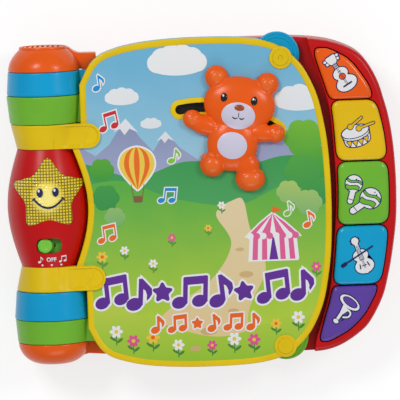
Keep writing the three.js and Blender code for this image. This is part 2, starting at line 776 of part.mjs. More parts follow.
function addKeys() {
  keyBands.forEach((band, i) => {
    const outline = keyOutline(band, 0);
    const [x, y] = keyMiddle(band);
    const drawn = (share) => outline.map(([px, py]) => [px + (x - px) * share, py + (y - py) * share]);
    const layers = [[drawn(0.02), keyBottom], [drawn(0), keyBottom + 1]];
    for (let j = 0; j <= 3; j += 1) {
      const angle = (j * Math.PI) / 6;
      layers.push([drawn(keyPillow * (1 - Math.cos(angle))), keyTop - keyDome * (1 - Math.sin(angle))]);
    }
    const cap = loft(layers);
    const stem = post(x, y, stemRadius, membraneTop + keyTravel + fit, keyBottom + 3, 12);
    addPart(keyNames[i], join(cap, stem), keyColours[i]);
  });
  const bed = (inset, z0, z1) => plate(shapeOf(bedOutline(inset)), z0, z1);
  const domes = keyBands.map((band) => {
    const [x, y] = keyMiddle(band);
    const dome = new THREE.CylinderGeometry(3.4, 5, 2.4, 10).rotateX(Math.PI / 2);
    return solid(dome.translate(x, y, membraneTop - 1.2));
  });
  addPart('key_membrane', join(bed(1.4, membraneBottom, membraneTop - 2.2), ...domes), 'rubber', 0.8);
  addPart('key_board', bed(1, membraneBottom - fit - boardThickness, membraneBottom - fit), 'board', 0.5);
}

// Outline under all keys, pulled in by an inset
function bedOutline(inset) {
  const right = stretch(rightCurve, -96, 100, 16);
  const left = stretch(leftCurve, -96, 100, 9).reverse();
  return grown(right.concat(left), -inset - 1);
}

function addHousing() {
  const outline = shapeOf(housingOutline);
  const inside = shapeOf(grown(housingOutline, -wall - 0.4));
  const well = plate(shapeOf(wellOutline), platformTop, 60);
  const wellInside = plate(shapeOf(grown(wellOutline, channelWall)), platformTop - wall, 60);
  const shell = plate(outline, housingSplit - shoulder, bezelTop, shoulder);
  const room = cut(plate(inside, housingSplit - 8, bezelTop - wall, 2), wellInside);
  const below = block(-160, 160, -140, 140, -10, housingSplit + fit / 2);
  const windowLow = keyBottom - keyTravel - 0.5;
  const windows = keyBands.map((band) => plate(shapeOf(keyOutline(band, windowGap)), windowLow, bezelTop + 1));
  const bossFrom = housingSplit + fit / 2;
  const frontBosses = screwPlaces.map(([x, y]) => post(x, y, bossRadius - 1, bossFrom, platformTop - 1));
  const holeRadius = screwShaftRadius + fit;
  const frontHoles = screwPlaces.map(([x, y]) => post(x, y, holeRadius, 0, platformTop - wall - 1, 12));
  const pageOutline = leafOutline(platformTop, 2);
  const pageLow = platformTop - printThickness - 0.1;
  const pagePrint = printPocket(pageOutline, pageLow - fit, platformTop + 1)
    .intersect(plate(shapeOf(grown(housingOutline, -5)), 0, 60));
  const notches = [lug(1, fit), lug(-1, fit)];
  const frontShell = join(cut(shell, well, room), ...frontBosses);
  const front = cut(frontShell, below, barrelBody(fit), ...windows, ...frontHoles, pagePrint, ...notches);
  addPart('front_housing', largest(front), 'red');
  const printShape = printSheet(pageOutline, pageLow)
    .intersect(plate(shapeOf(grown(housingOutline, -5 - fit)), 0, 60));
  addPart('last_page_print', printShape, 'card', 0.5);

  const trayRoom = plate(inside, housingFloor + wall, housingSplit + 10, 2);
  const tray = cut(plate(outline, housingFloor, housingSplit + shoulder, shoulder), trayRoom);
  const lower = block(-160, 160, -140, 140, -10, housingSplit - fit / 2);
  const bay = block(cellX - 19.5, cellX + 19.5, -bayHalfY - wall, bayHalfY + wall, 0.5, 20.2);
  const bayRoom = block(cellX - 17.5, cellX + 17.5, -bayHalfY, bayHalfY, -1, 18.2);
  const bosses = screwPlaces.map(([x, y]) => post(x, y, bossRadius, 1, housingSplit - fit / 2));
  const holes = screwPlaces.flatMap(([x, y]) => [
    post(x, y, holeRadius, -1, 20, 12),
    post(x, y, screwHeadRadius + fit, -1, screwSeat, 16),
  ]);
  const standoffs = boardPosts.map(([x, y]) => post(x, y, 2.5, 1, mainBoardZ - fit, 10));
  const keyBoardLow = membraneBottom - 2 * fit - boardThickness;
  const keyPosts = keyBoardPosts.map(([x, y]) => post(x, y, 3, 1, keyBoardLow, 10));
  const linkLeft = axisX + 16;
  const linkTop = platformTop - 1;
  const linkBlocks = join(
    block(linkLeft, housingLeft - fit, -linkHalf, linkHalf, linkBottom, linkTop),
    block(linkLeft, housingLeft + 1, -linkHalf, linkHalf, linkBottom, housingSplit - fit / 2),
  );
  const [roomLeft, roomRight, roomHalf] = [linkLeft + wall, housingLeft - fit - wall, linkHalf - wall];
  const linkRoom = block(roomLeft, roomRight, -roomHalf, roomHalf, linkBottom + wall, linkTop - wall);
  const link = cut(linkBlocks, cut(linkRoom, barrelBody(0)));
  const barrelLow = block(-160, -60, -60, 60, -5, axisZ - fit / 2);
  const cradle = cut(join(barrelBody(0).intersect(barrelLow), link), barrelRoom(), spindleRoom);
  const passage = block(-100, -70, -8, 8, 9, 16);
  const doorBoss = block(cellX - 5, cellX + 5, bayHalfY, bayHalfY + 9, 1, 14);
  const doorHole = post(cellX, bayHalfY + 4, 1.6, -1, 12, 12);
  const doorRebate = block(cellX - 5.3, cellX + 5.3, bayHalfY - 1, bayHalfY + 8, -1, 2.6);
  const trayCut = cut(tray.intersect(lower), ...notches);
  const whole = join(trayCut, bay, ...bosses, ...standoffs, ...keyPosts, cradle, doorBoss);
  const rear = cut(whole, bayRoom, ...holes, passage, doorHole, doorRebate);
  addPart('rear_housing', largest(rear), 'red');
}

const mainBoardZ = 7;
const boardPosts = [[-54, 24], [-54, -24], [-10, 24], [-10, -24]];
const keyBoardPosts = [[104, 78], [116, 40], [116, -40], [106, -76]];

function addInside() {
  addPart('main_board', block(-57, -7, -27, 27, mainBoardZ, mainBoardZ + boardThickness), 'board', 0.5);
  const cellZ = 2.4 + fit + cellRadius;
  for (const side of [-1, 1]) {
    const x = cellX + (side * cellPitch) / 2;
    const half = cellLength / 2;
    const nub = 1;
    const profile = [
      [0, -half], [cellRadius, -half], [cellRadius, half - nub - 0.4], [2.7, half - nub], [2.7, half], [0, half],
    ];
    const points = profile.map(([radius, y]) => new THREE.Vector2(radius, side * y));
    const cell = solid(new THREE.LatheGeometry(points, 24).translate(x, 0, cellZ));
    addPart(side < 0 ? 'battery_1' : 'battery_2', cell, 'dark', 0.4);
  }
  for (const side of [-1, 1]) {
    const near = side * (cellLength / 2 + fit);
    const far = side * (bayHalfY - fit);
    const back = far - side * 0.8;
    const strip = block(cellX - 15, cellX + 15, Math.min(far, back), Math.max(far, back), 4, 16);
    const pads = [-1, 1].map((end) => {
      const geometry = new THREE.CylinderGeometry(3, 4, Math.abs(far - near), 14);
      if (side > 0) geometry.rotateX(Math.PI);
      return solid(geometry.translate(cellX + (end * cellPitch) / 2, (far + near) / 2, cellZ));
    });
    addPart(side < 0 ? 'battery_contact_1' : 'battery_contact_2', join(strip, ...pads), 'steel', 0.35, 1);
  }
  const doorBody = block(cellX - 17.5 + fit, cellX + 17.5 - fit, -bayHalfY + fit, bayHalfY - fit, 0.4, 2.4);
  const doorTongue = block(cellX - 5, cellX + 5, bayHalfY - 2, bayHalfY + 7.7, 0.4, 2.3);
  const doorHole = post(cellX, bayHalfY + 4, 1.6 + fit, -1, 4, 12);
  addPart('battery_door', cut(join(doorBody, doorTongue), doorHole), 'red');
  const doorScrew = post(cellX, bayHalfY + 4, 1.3, 0.5, 10, 12);
  addPart('battery_door_screw', cut(doorScrew, post(cellX, bayHalfY + 4, 0.5, 0, 1.2, 8)), 'steel', 0.3, 1);
  const headHeight = 1.6;
  const headFrom = screwSeat - fit - headHeight;
  screwPlaces.forEach(([x, y], i) => {
    const head = post(x, y, screwHeadRadius, headFrom, headFrom + headHeight, 16);
    const shaft = post(x, y, screwShaftRadius, headFrom + 1, platformTop - wall - 2, 10);
    addPart(`housing_screw_${i + 1}`, join(head, shaft), 'steel', 0.3, 1);
  });
}

// Teddy bear: one moulding whose arms and legs are lobes, with two posts through the slot
const bearZ = coverZ[1] + 0.5;

function addBear() {
  const lobe = (x, y, rx, ry, rz, tilt = 0) => {
    const geometry = new THREE.SphereGeometry(1, 12, 8).scale(rx, ry, rz);
    return solid(geometry.rotateZ((tilt * Math.PI) / 180).translate(x, y, bearZ + 1));
  };
  const lobes = [
    lobe(29.2, 69.5, 25.5, 20, 9, -9), lobe(14, 90, 8.6, 8.6, 4.6), lobe(49.5, 83.6, 8.4, 8.4, 4.6),
    lobe(23.4, 42, 18, 20, 7.4, -12), lobe(3, 56, 12, 7, 5.4, -22), lobe(-4.6, 60.2, 6.8, 6.8, 5),
    lobe(44, 48.6, 11, 6.6, 5.4, -10), lobe(54, 48, 6.8, 6.8, 5),
    lobe(8.6, 27.6, 9, 9, 6), lobe(35.2, 16.4, 10.6, 9, 6), lobe(33, 26, 9, 9, 5.4),
  ];
  const above = block(-60, 120, -40, 130, bearZ, bearZ + 20);
  const postFrom = retainerZ[1] + fit;
  const posts = [-bearPostSpread, bearPostSpread].map((offset) => {
    const [x, y] = onArc(arcMiddle + offset);
    return post(x, y, bearPostRadius, postFrom, bearZ + 3, 14);
  });
  addPart('bear', join(join(...lobes).intersect(above), ...posts), 'orange');
  const strip = arcStrip(bearPostSpread + 2, arcSlotWidth + 3, ...retainerZ);
  addPart('bear_retainer', strip, 'dark', 0.5);
}

const retainerZ = [coverZ[0] + pocketDepth + fit, coverZ[0] + pocketDepth + fit + retainerThickness];

addCover();
addLeaf('green_leaf', 'leafGreen', greenZ, [
  [1, ...middleNear, ...middleRadii], [-1, ...outerBand, ...outerRadii],
], greenTabY);
addLeaf('blue_leaf', 'blue', blueZ, [
  [1, ...outerBand, ...outerRadii], [-1, ...middleNear, ...middleRadii],
], blueTabY);
addBarrel();
addSpindle('top_spindle', 1);
addSpindle('bottom_spindle', -1);
addCap('top_end_cap', 1, topCapLength, topCapEndRadius);
addCap('bottom_end_cap', -1, bottomCapLength, bottomCapEndRadius);
addSpeaker();
addKeys();
addHousing();
addInside();
addBear();

export default book;
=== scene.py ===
# Looks of a toy sound book: fine moulded shells, printed card, keys with pictograms, a star lamp and a bear.
# Metres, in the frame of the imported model; the values named in millimetres are turned into metres by MM.
import math

import bmesh
import bpy
import numpy as np
from mathutils import Matrix, Vector
from mathutils.bvhtree import BVHTree


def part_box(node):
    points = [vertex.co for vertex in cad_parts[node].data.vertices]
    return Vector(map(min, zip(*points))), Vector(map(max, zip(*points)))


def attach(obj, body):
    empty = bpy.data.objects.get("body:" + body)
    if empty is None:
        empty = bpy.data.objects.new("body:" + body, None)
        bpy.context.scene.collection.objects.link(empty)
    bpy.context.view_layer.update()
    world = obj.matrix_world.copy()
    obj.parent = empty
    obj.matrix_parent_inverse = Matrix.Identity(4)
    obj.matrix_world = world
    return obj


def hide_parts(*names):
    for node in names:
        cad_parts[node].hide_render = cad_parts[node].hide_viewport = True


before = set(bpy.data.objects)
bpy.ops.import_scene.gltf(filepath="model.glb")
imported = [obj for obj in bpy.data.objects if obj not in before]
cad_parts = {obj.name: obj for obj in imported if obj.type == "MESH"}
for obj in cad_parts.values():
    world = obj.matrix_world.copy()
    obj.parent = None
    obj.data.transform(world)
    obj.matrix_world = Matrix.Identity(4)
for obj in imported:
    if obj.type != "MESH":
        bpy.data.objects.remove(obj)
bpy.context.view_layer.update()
scene = bpy.context.scene

MM = 0.001
TURN = 2 * math.pi

# Spine
AXIS_X = -109.1
AXIS_Z = 30.0
BARREL_HALF = 41.8
BARREL_NECK = 21.0
BARREL_BULGE = 8.6
RINGS = {"cover": (41.8, 59.8), "middle": (59.8, 80.0), "outer": (80.0, 97.0)}
CAP_Y = 97.0
BORE = 18.9
FIT = 0.3

# Levels of the stack
BLUE_Z = (30.3, 35.5)
GREEN_Z = (36.1, 41.3)
COVER_Z = (41.9, 48.1)
RIM = 4.5
PRINT_TOP = 47.7
KEY_TOP = 43.4
BEZEL_TOP = 40.5
PLATFORM_TOP = 29.2
SPLIT = 18.0


# Colours are written as they look in daylight, 0 to 255, and turned into linear light
def tone(red, green, blue):
    share = np.array([red, green, blue]) / 255
    linear = np.where(share <= 0.04045, share / 12.92, ((share + 0.055) / 1.055) ** 2.4)
    return (*[float(v) for v in linear], 1.0)


RED = tone(208, 6, 12)
YELLOW = tone(242, 206, 10)
ORANGE = tone(255, 98, 12)
BLUE = tone(0, 170, 226)
GREEN = tone(122, 196, 54)
KEY_GREEN = tone(118, 194, 54)
PURPLE = tone(100, 68, 170)
NAVY = tone(28, 34, 92)
WHITE = tone(244, 244, 246)
LILAC = tone(220, 216, 236)
INK = tone(24, 20, 24)


def socket_link(tree, source, target):
    tree.links.new(source, target)


# Moulded plastic: a fine orange-peel skin, faint flow marks in colour and uneven gloss
def plastic(name, colour, roughness=0.3, grain=900.0, bump=0.06, shift=0.05, coat=0.06):
    material = bpy.data.materials.new(name)
    material.use_nodes = True
    tree = material.node_tree
    shader = tree.nodes["Principled BSDF"]
    shader.inputs["Coat Weight"].default_value = coat
    shader.inputs["Coat Roughness"].default_value = 0.12
    shader.inputs["Specular IOR Level"].default_value = 0.3
    place = tree.nodes.new("ShaderNodeTexCoord")
    flow = tree.nodes.new("ShaderNodeTexNoise")
    flow.inputs["Scale"].default_value = 22.0
    flow.inputs["Detail"].default_value = 3.0
    socket_link(tree, place.outputs["Object"], flow.inputs["Vector"])
    ramp = tree.nodes.new("ShaderNodeValToRGB")
    dark = tuple(c * (1 - shift) for c in colour[:3]) + (1.0,)
    light = tuple(min(1.0, c * (1 + shift)) for c in colour[:3]) + (1.0,)
    ramp.color_ramp.elements[0].position = 0.35
    ramp.color_ramp.elements[0].color = dark
    ramp.color_ramp.elements[1].position = 0.65
    ramp.color_ramp.elements[1].color = light
    socket_link(tree, flow.outputs["Fac"], ramp.inputs["Fac"])
    socket_link(tree, ramp.outputs["Color"], shader.inputs["Base Color"])
    skin = tree.nodes.new("ShaderNodeTexNoise")
    skin.inputs["Scale"].default_value = grain
    skin.inputs["Detail"].default_value = 2.0
    socket_link(tree, place.outputs["Object"], skin.inputs["Vector"])
    gloss = tree.nodes.new("ShaderNodeMapRange")
    gloss.inputs["To Min"].default_value = roughness - 0.06
    gloss.inputs["To Max"].default_value = roughness + 0.06
    socket_link(tree, flow.outputs["Fac"], gloss.inputs["Value"])
    socket_link(tree, gloss.outputs["Result"], shader.inputs["Roughness"])
    relief = tree.nodes.new("ShaderNodeBump")
    relief.inputs["Strength"].default_value = bump
    relief.inputs["Distance"].default_value = 0.0002
    socket_link(tree, skin.outputs["Fac"], relief.inputs["Height"])
    socket_link(tree, relief.outputs["Normal"], shader.inputs["Normal"])
    return material


# Printed card under a thin film: a colour that runs from one tone to another along Y, with a faint screen
def card(name, low, high, from_y, to_y, roughness=0.32, mottle=0.05):
    material = bpy.data.materials.new(name)
    material.use_nodes = True
    tree = material.node_tree
    shader = tree.nodes["Principled BSDF"]
    shader.inputs["Coat Weight"].default_value = 0.3
    shader.inputs["Coat Roughness"].default_value = 0.15
    shader.inputs["Roughness"].default_value = roughness
    place = tree.nodes.new("ShaderNodeTexCoord")
    split = tree.nodes.new("ShaderNodeSeparateXYZ")
    socket_link(tree, place.outputs["Object"], split.inputs["Vector"])
    reach = tree.nodes.new("ShaderNodeMapRange")
    reach.inputs["From Min"].default_value = from_y * MM
    reach.inputs["From Max"].default_value = to_y * MM
    socket_link(tree, split.outputs["Y"], reach.inputs["Value"])
    wash = tree.nodes.new("ShaderNodeTexNoise")
    wash.inputs["Scale"].default_value = 45.0
    socket_link(tree, place.outputs["Object"], wash.inputs["Vector"])
    add = tree.nodes.new("ShaderNodeMath")
    add.operation = "MULTIPLY_ADD"
    add.inputs[1].default_value = mottle * 4
    socket_link(tree, wash.outputs["Fac"], add.inputs[0])
    socket_link(tree, reach.outputs["Result"], add.inputs[2])
    ramp = tree.nodes.new("ShaderNodeValToRGB")
    ramp.color_ramp.elements[0].position = mottle * 2
    ramp.color_ramp.elements[0].color = low
    ramp.color_ramp.elements[1].position = 1.0
    ramp.color_ramp.elements[1].color = high
    socket_link(tree, add.outputs["Value"], ramp.inputs["Fac"])
    socket_link(tree, ramp.outputs["Color"], shader.inputs["Base Color"])
    return material


# Outline helpers, all on arrays of points in millimetres
def smooth(points, count, closed=False):
    """Catmull-Rom line through points: a cubic between each pair, with the mean slope at each point."""
    p = np.array(points, float)
    last = len(p) - 1
    t = np.linspace(0, 1, count + 1) * last
    i = np.minimum(t.astype(int), last - 1)
    w = (t - i)[:, None]
    before, start, end, after = p[np.maximum(i - 1, 0)], p[i], p[i + 1], p[np.minimum(i + 2, last)]
    v0, v1 = (end - before) / 2, (after - start) / 2
    a = 2 * start - 2 * end + v0 + v1
    b = -3 * start + 3 * end - 2 * v0 - v1
    return a * w**3 + b * w**2 + v0 * w + start


def grown(points, distance):
    """Each point moves out along the mean normal of its two edges; the outline runs anticlockwise."""
    p = np.asarray(points, float)
    ahead = np.roll(p, -1, 0) - p
    back = p - np.roll(p, 1, 0)
    ahead /= np.maximum(np.linalg.norm(ahead, axis=1, keepdims=True), 1e-9)
    back /= np.maximum(np.linalg.norm(back, axis=1, keepdims=True), 1e-9)
    mean = ahead + back
    normal = np.stack([mean[:, 1], -mean[:, 0]], 1)
    length = np.maximum(np.linalg.norm(normal, axis=1, keepdims=True), 1e-9)
    return p + normal / length * distance / np.maximum(0.5, length / 2)


def circle(x, y, radius, count=64, start=0.0):
    angle = start + TURN * np.arange(count) / count
    return np.stack([x + radius * np.cos(angle), y + radius * np.sin(angle)], 1)


def even(points, step, closed=True):
    """The same outline with its points spaced evenly, about a step apart."""
    p = np.asarray(points, float)
    if closed:
        p = np.vstack([p, p[:1]])
    run = np.concatenate([[0], np.cumsum(np.linalg.norm(np.diff(p, axis=0), axis=1))])
    count = max(8, int(round(run[-1] / step)))
    at = np.linspace(0, run[-1], count + 1)
    out = np.stack([np.interp(at, run, p[:, k]) for k in range(2)], 1)
    return out[:-1] if closed else out


# Mesh helpers
def new_piece(name, vertices, faces, material, sharp=32.0):
    mesh = bpy.data.meshes.new(name)
    mesh.from_pydata((np.asarray(vertices, float) * MM).tolist(), [], faces)
    mesh.validate()
    piece = bpy.data.objects.new(name, mesh)
    scene.collection.objects.link(piece)
    if material is not None:
        mesh.materials.append(material)
    tidy(piece, sharp)
    return piece


def tidy(piece, sharp=32.0):
    """Doubles go, faces turn outwards, and edges sharper than an angle stay sharp."""
    work = bmesh.new()
    work.from_mesh(piece.data)
    bmesh.ops.remove_doubles(work, verts=work.verts, dist=1e-7)
    bmesh.ops.recalc_face_normals(work, faces=work.faces)
    work.to_mesh(piece.data)
    work.free()
    piece.data.shade_smooth()
    piece.data.set_sharp_from_angle(angle=math.radians(sharp))


def loft(name, layers, material, sharp=32.0):
    """Closed body through stacked outlines of equal point count: [points, z], with flat lids."""
    count = len(layers[0][0])
    vertices = np.vstack([np.column_stack([p, np.full(count, z)]) for p, z in layers])
    i = np.arange(count)
    j = (i + 1) % count
    sides = [np.stack([i + k * count, j + k * count, j + (k + 1) * count, i + (k + 1) * count], 1)
             for k in range(len(layers) - 1)]
    faces = np.vstack(sides).tolist()
    top = (len(layers) - 1) * count
    faces.append(i[::-1].tolist())
    faces.append((i + top).tolist())
    return new_piece(name, vertices, faces, material, sharp)


def plate(name, outline, z0, z1, material, edge=0.0, steps=4, sharp=32.0, low_edge=None):
    """Flat body with rounded edges: the outline is drawn in along a quarter circle at top and bottom."""
    low = edge if low_edge is None else low_edge
    layers = []
    for k in range(steps + 1 if low else 1):
        angle = math.pi / 2 * k / steps
        layers.append((grown(outline, -low * (1 - math.sin(angle))), z0 + low * (1 - math.cos(angle))))
    if not low:
        layers = [(np.asarray(outline), z0)]
    for k in range(steps + 1 if edge else 1):
        angle = math.pi / 2 * k / steps
        layers.append((grown(outline, -edge * (1 - math.cos(angle))), z1 - edge * (1 - math.sin(angle))))
    if not edge:
        layers[-1] = (np.asarray(outline), z1)
    return loft(name, layers, material, sharp)


def combine(base, others, how, sharp=32.0):
    """Exact boolean of base with each of the others, which are then deleted."""
    for other in others:
        step = base.modifiers.new("step", "BOOLEAN")
        step.operation = how
        step.solver = "EXACT"
        step.object = other
        graph = bpy.context.evaluated_depsgraph_get()
        done = bpy.data.meshes.new_from_object(base.evaluated_get(graph))
        base.modifiers.clear()
        base.data = done
    for other in others:
        bpy.data.objects.remove(other)
    tidy(base, sharp)
    return base


def carve(base, others, sharp=32.0):
    return combine(base, others, "DIFFERENCE", sharp)


def unite(base, others, sharp=32.0):
    return combine(base, others, "UNION", sharp)


def box_piece(name, x0, x1, y0, y1, z0, z1, material=None, edge=0.0):
    corners = np.array([[x0, y0], [x1, y0], [x1, y1], [x0, y1]], float)
    if edge:
        outline = rounded(corners, edge)
        return plate(name, outline, z0, z1, material, min(edge, (z1 - z0) / 2.5))
    return plate(name, corners, z0, z1, material)


def rounded(corners, radius, count=6):
    """A polygon with each corner turned into a curve that is tangent to both its sides."""
    p = np.asarray(corners, float)
    out = []
    for i, corner in enumerate(p):
        before, after = p[i - 1] - corner, p[(i + 1) % len(p)] - corner
        reach = min(radius, np.linalg.norm(before) / 2.05, np.linalg.norm(after) / 2.05)
        start = corner + before / np.linalg.norm(before) * reach
        end = corner + after / np.linalg.norm(after) * reach
        t = np.linspace(0, 1, count + 1)[:, None]
        out.append((1 - t) ** 2 * start + 2 * t * (1 - t) * corner + t**2 * end)
    return np.vstack(out)


def show(piece, body, replaces=()):
    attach(piece, body)
    if replaces:
        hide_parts(*replaces)
    return piece


# Outlines of the leaves, the housing and the keys
LEAF_CORNER = [
    (92.3, 0), (91, 35.6), (87.5, 60.5), (83.3, 77), (76, 92.6), (68, 102.5), (60, 109), (48, 113.8),
    (30, 116.6), (0, 117.4), (-25, 116.6), (-46, 114.3), (-63, 110), (-71.6, 105.6), (-77.6, 99),
]


def barrel_radius(y):
    return BARREL_NECK + BARREL_BULGE * np.cos(np.pi * np.asarray(y) / (2 * BARREL_HALF))


def barrel_z(x, y, lift=0.0):
    """Height of the barrel's surface, lifted along its radius, above a point of the plan."""
    reach = barrel_radius(y) + lift
    return AXIS_Z + np.sqrt(np.maximum(reach**2 - (np.asarray(x) - AXIS_X) ** 2, 1.0))


def leaf_left(low):
    return AXIS_X + math.sqrt(28.0**2 - (low - AXIS_Z) ** 2)


def leaf_outline(low, clearance):
    """Right side and corners on one smooth line; the left edge is set back beside the barrel."""
    left = leaf_left(low)
    corner = LEAF_CORNER + [(left, 87)]
    lower = [(x, -y) for x, y in corner[::-1]][:-1]
    right = smooth(lower + corner, 260)
    y = np.linspace(BARREL_HALF, -BARREL_HALF, 41)
    reach = np.maximum(barrel_radius(y) + clearance, 22)
    x = AXIS_X + np.sqrt(reach**2 - max(0.0, low - AXIS_Z) ** 2)
    side = np.column_stack([x, y])
    return np.vstack([right, [(left, 59.8)], side, [(left, -59.8)]])


HOUSING_RIGHT = [
    (66.6, -110.6), (83.8, -110), (96.8, -106.1), (109.9, -97.9), (118, -89.6), (127.1, -72.7),
    (131.9, -55.7), (135.3, -38.6), (138.3, -17), (139.12, 4), (138.75, 22), (137.6, 38.6), (135.2, 55.8),
    (132, 68.8), (128.1, 81.8), (121.3, 94.9), (113, 103.7), (99.3, 110), (84.6, 113.4), (66, 115),
]
HOUSING_TOP = [(0, 115.2), (-46, 112.4), (-63, 108.3), (-72, 103.4), (-77.6, 96), (-80.5, 86)]
HOUSING_LOW = [(-80.5, -84), (-77.6, -94), (-72, -101.2), (-63, -105.8), (-46, -108.6), (0, -110.4)]
housing_outline = even(np.vstack([
    smooth(HOUSING_RIGHT, 200), smooth(HOUSING_TOP, 80), smooth(HOUSING_LOW, 80)]), 1.6)

KEY_LEFT = [
    (80, -104), (85.5, -86), (91.6, -63), (96.3, -20), (97.8, 4),
    (97.3, 26), (95.2, 60), (91.7, 76), (85, 98), (81, 112),
]
KEY_RIGHT = [
    (78, -104.4), (88, -102.2), (97, -98.4), (105, -92.8), (113.5, -84), (120, -73), (125.2, -62),
    (129.6, -42), (132.2, -20), (133.4, 2), (132.8, 25), (130.9, 46), (126.4, 66), (121.4, 79),
    (116.5, 87.2), (110.0, 95.8), (101.8, 102.6), (91.6, 106.6), (80, 108.2),
]
KEY_DIVIDES = [107.4, 69.6, 25.6, -20.2, -63.2, -103.5]
KEY_GAP = 1.2
KEY_CORNER = 7.2
KEY_LOW = 35.0
WINDOW_GAP = 0.8
left_curve = smooth(KEY_LEFT, 400)
right_curve = smooth(KEY_RIGHT, 600)


def stretch(curve, low, high, count):
    inside = curve[(curve[:, 1] > low) & (curve[:, 1] < high)]
    return inside[np.round(np.linspace(0, len(inside) - 1, count)).astype(int)]


def crossing(curve, y):
    return float(np.interp(y, curve[:, 1], curve[:, 0]))


def bow(start, over, end, count=10):
    """Quadratic curve from start to end, pulled towards the point over."""
    t = np.linspace(0, 1, count)[:, None]
    return (1 - t) ** 2 * np.array(start) + 2 * t * (1 - t) * np.array(over) + t**2 * np.array(end)


def key_outline(low, high):
    """Band of the key strip between two heights, with rounded corners."""
    right = stretch(right_curve, low + KEY_CORNER, high - KEY_CORNER, 24)
    left = stretch(left_curve, low + KEY_CORNER, high - KEY_CORNER, 18)[::-1]
    low_left, low_right = (crossing(left_curve, low + 1), low), (crossing(right_curve, low + 1), low)
    top_right, top_left = (crossing(right_curve, high - 1), high), (crossing(left_curve, high - 1), high)
    corner = min(KEY_CORNER, min(low_right[0] - low_left[0], top_right[0] - top_left[0]) / 3)
    return np.vstack([
        bow((low_right[0] - corner, low), low_right, right[0]), right[1:-1],
        bow(right[-1], top_right, (top_right[0] - corner, high)),
        bow((top_left[0] + corner, high), top_left, left[0]), left[1:-1],
        bow(left[-1], low_left, (low_left[0] + corner, low)),
    ])


STAR_MIDDLE = (AXIS_X + 0.8, 10.4)
PYRAMID = 2.1


def star_outline(grow, middle=STAR_MIDDLE, tip=27.6, notch=16.6):
    """Five points with rounded tips and softer notches between them."""
    angle = math.pi / 2 + np.arange(10) * math.pi / 5
    radius = np.where(np.arange(10) % 2, notch, tip)
    tips = np.column_stack([middle[0] + radius * np.cos(angle), middle[1] + radius * np.sin(angle)])
    points = grown(tips, grow)
    out = []
    for i, point in enumerate(points):
        share = 0.2 if i % 2 else 0.3
        before, after = points[i - 1], points[(i + 1) % 10]
        out.append(bow(point + (before - point) * share, point, point + (after - point) * share))
    return np.vstack(out)


ARC_CENTRE = (2.0, -17.7)
ARC_RADIUS = 86.0
ARC_MIDDLE = 76.0


def arc_strip(half_angle, width, radius=ARC_RADIUS, centre=ARC_CENTRE, middle=ARC_MIDDLE):
    """Band along a circle's arc with half-round ends, anticlockwise."""
    a0, a1 = math.radians(middle - half_angle), math.radians(middle + half_angle)
    end = width / 2
    outer = np.linspace(a0, a1, 60)
    inner = outer[::-1]
    cap = np.linspace(0, math.pi, 16)[1:-1]
    c = np.array(centre)

    def at(angle, r):
        return np.column_stack([c[0] + r * np.cos(angle), c[1] + r * np.sin(angle)])

    far, near = at(np.array([a1]), radius)[0], at(np.array([a0]), radius)[0]
    return np.vstack([
        at(outer, radius + end),
        far + end * np.column_stack([np.cos(a1 + cap), np.sin(a1 + cap)]),
        at(inner, radius - end),
        near + end * np.column_stack([np.cos(a0 + math.pi + cap), np.sin(a0 + math.pi + cap)]),
    ])


def placed(points, x, y, turn=0.0, size=1.0):
    p = np.asarray(points, float) * size
    a = math.radians(turn)
    return np.column_stack([x + p[:, 0] * math.cos(a) - p[:, 1] * math.sin(a),
                            y + p[:, 0] * math.sin(a) + p[:, 1] * math.cos(a)])


def oval(x, y, rx, ry, turn=0.0, count=48):
    angle = TURN * np.arange(count) / count
    return placed(np.column_stack([rx * np.cos(angle), ry * np.sin(angle)]), x, y, turn)


def stack(name, layers, material, sharp=32.0):
    """Thin flat shapes in one mesh: each is an outline with its own bottom and top height."""
    vertices, faces, base = [], [], 0
    for outline, z0, z1 in layers:
        p = np.asarray(outline, float)
        count = len(p)
        vertices.append(np.column_stack([p, np.full(count, z0)]))
        vertices.append(np.column_stack([p, np.full(count, z1)]))
        i = np.arange(count)
        j = (i + 1) % count
        faces += (np.stack([i, j, j + count, i + count], 1) + base).tolist()
        faces.append((i[::-1] + base).tolist())
        faces.append((i + count + base).tolist())
        base += 2 * count
    return new_piece(name, np.vstack(vertices), faces, material, sharp)


# Finishes
red = plastic("red_moulding", RED, 0.34, coat=0.02)
yellow = plastic("yellow_moulding", YELLOW, 0.3)
orange = plastic("orange_moulding", ORANGE, 0.28)
blue = plastic("blue_moulding", BLUE, 0.3)
green = plastic("green_moulding", GREEN, 0.3)
slide_green = plastic("slide_moulding", tone(84, 160, 46), 0.35)
knob_green = plastic("knob_moulding", tone(128, 214, 70), 0.3, coat=0.2)
key_colours = {
    "key_guitar": plastic("orange_key_moulding", ORANGE, 0.24, coat=0.2),
    "key_drum": plastic("yellow_key_moulding", tone(244, 200, 12), 0.24, coat=0.2),
    "key_maracas": plastic("green_key_moulding", KEY_GREEN, 0.24, coat=0.2),
    "key_violin": plastic("blue_key_moulding", tone(0, 170, 220), 0.24, coat=0.2),
    "key_trumpet": plastic("purple_key_moulding", PURPLE, 0.24, coat=0.2),
}
black = plastic("black_moulding", tone(30, 30, 33), 0.4, shift=0.08)
white_ink = plastic("white_ink", WHITE, 0.4, bump=0.02, shift=0.01, coat=0.1)
navy_ink = plastic("navy_ink", NAVY, 0.35, bump=0.02, shift=0.06, coat=0.1)
dark_ink = plastic("dark_ink", INK, 0.2, bump=0.01, shift=0.06, coat=0.5)
nose_brown = plastic("nose_paint", tone(170, 78, 30), 0.25, coat=0.3)
lilac_paint = plastic("lilac_paint", LILAC, 0.34, bump=0.04, shift=0.02)
board_green = plastic("board_lacquer", tone(30, 92, 52), 0.42, grain=420.0, shift=0.2)
rubber = plastic("grey_rubber", tone(150, 150, 156), 0.62, bump=0.12, coat=0.0)
battery_skin = plastic("battery_sleeve", tone(48, 50, 56), 0.3, shift=0.12, coat=0.5)


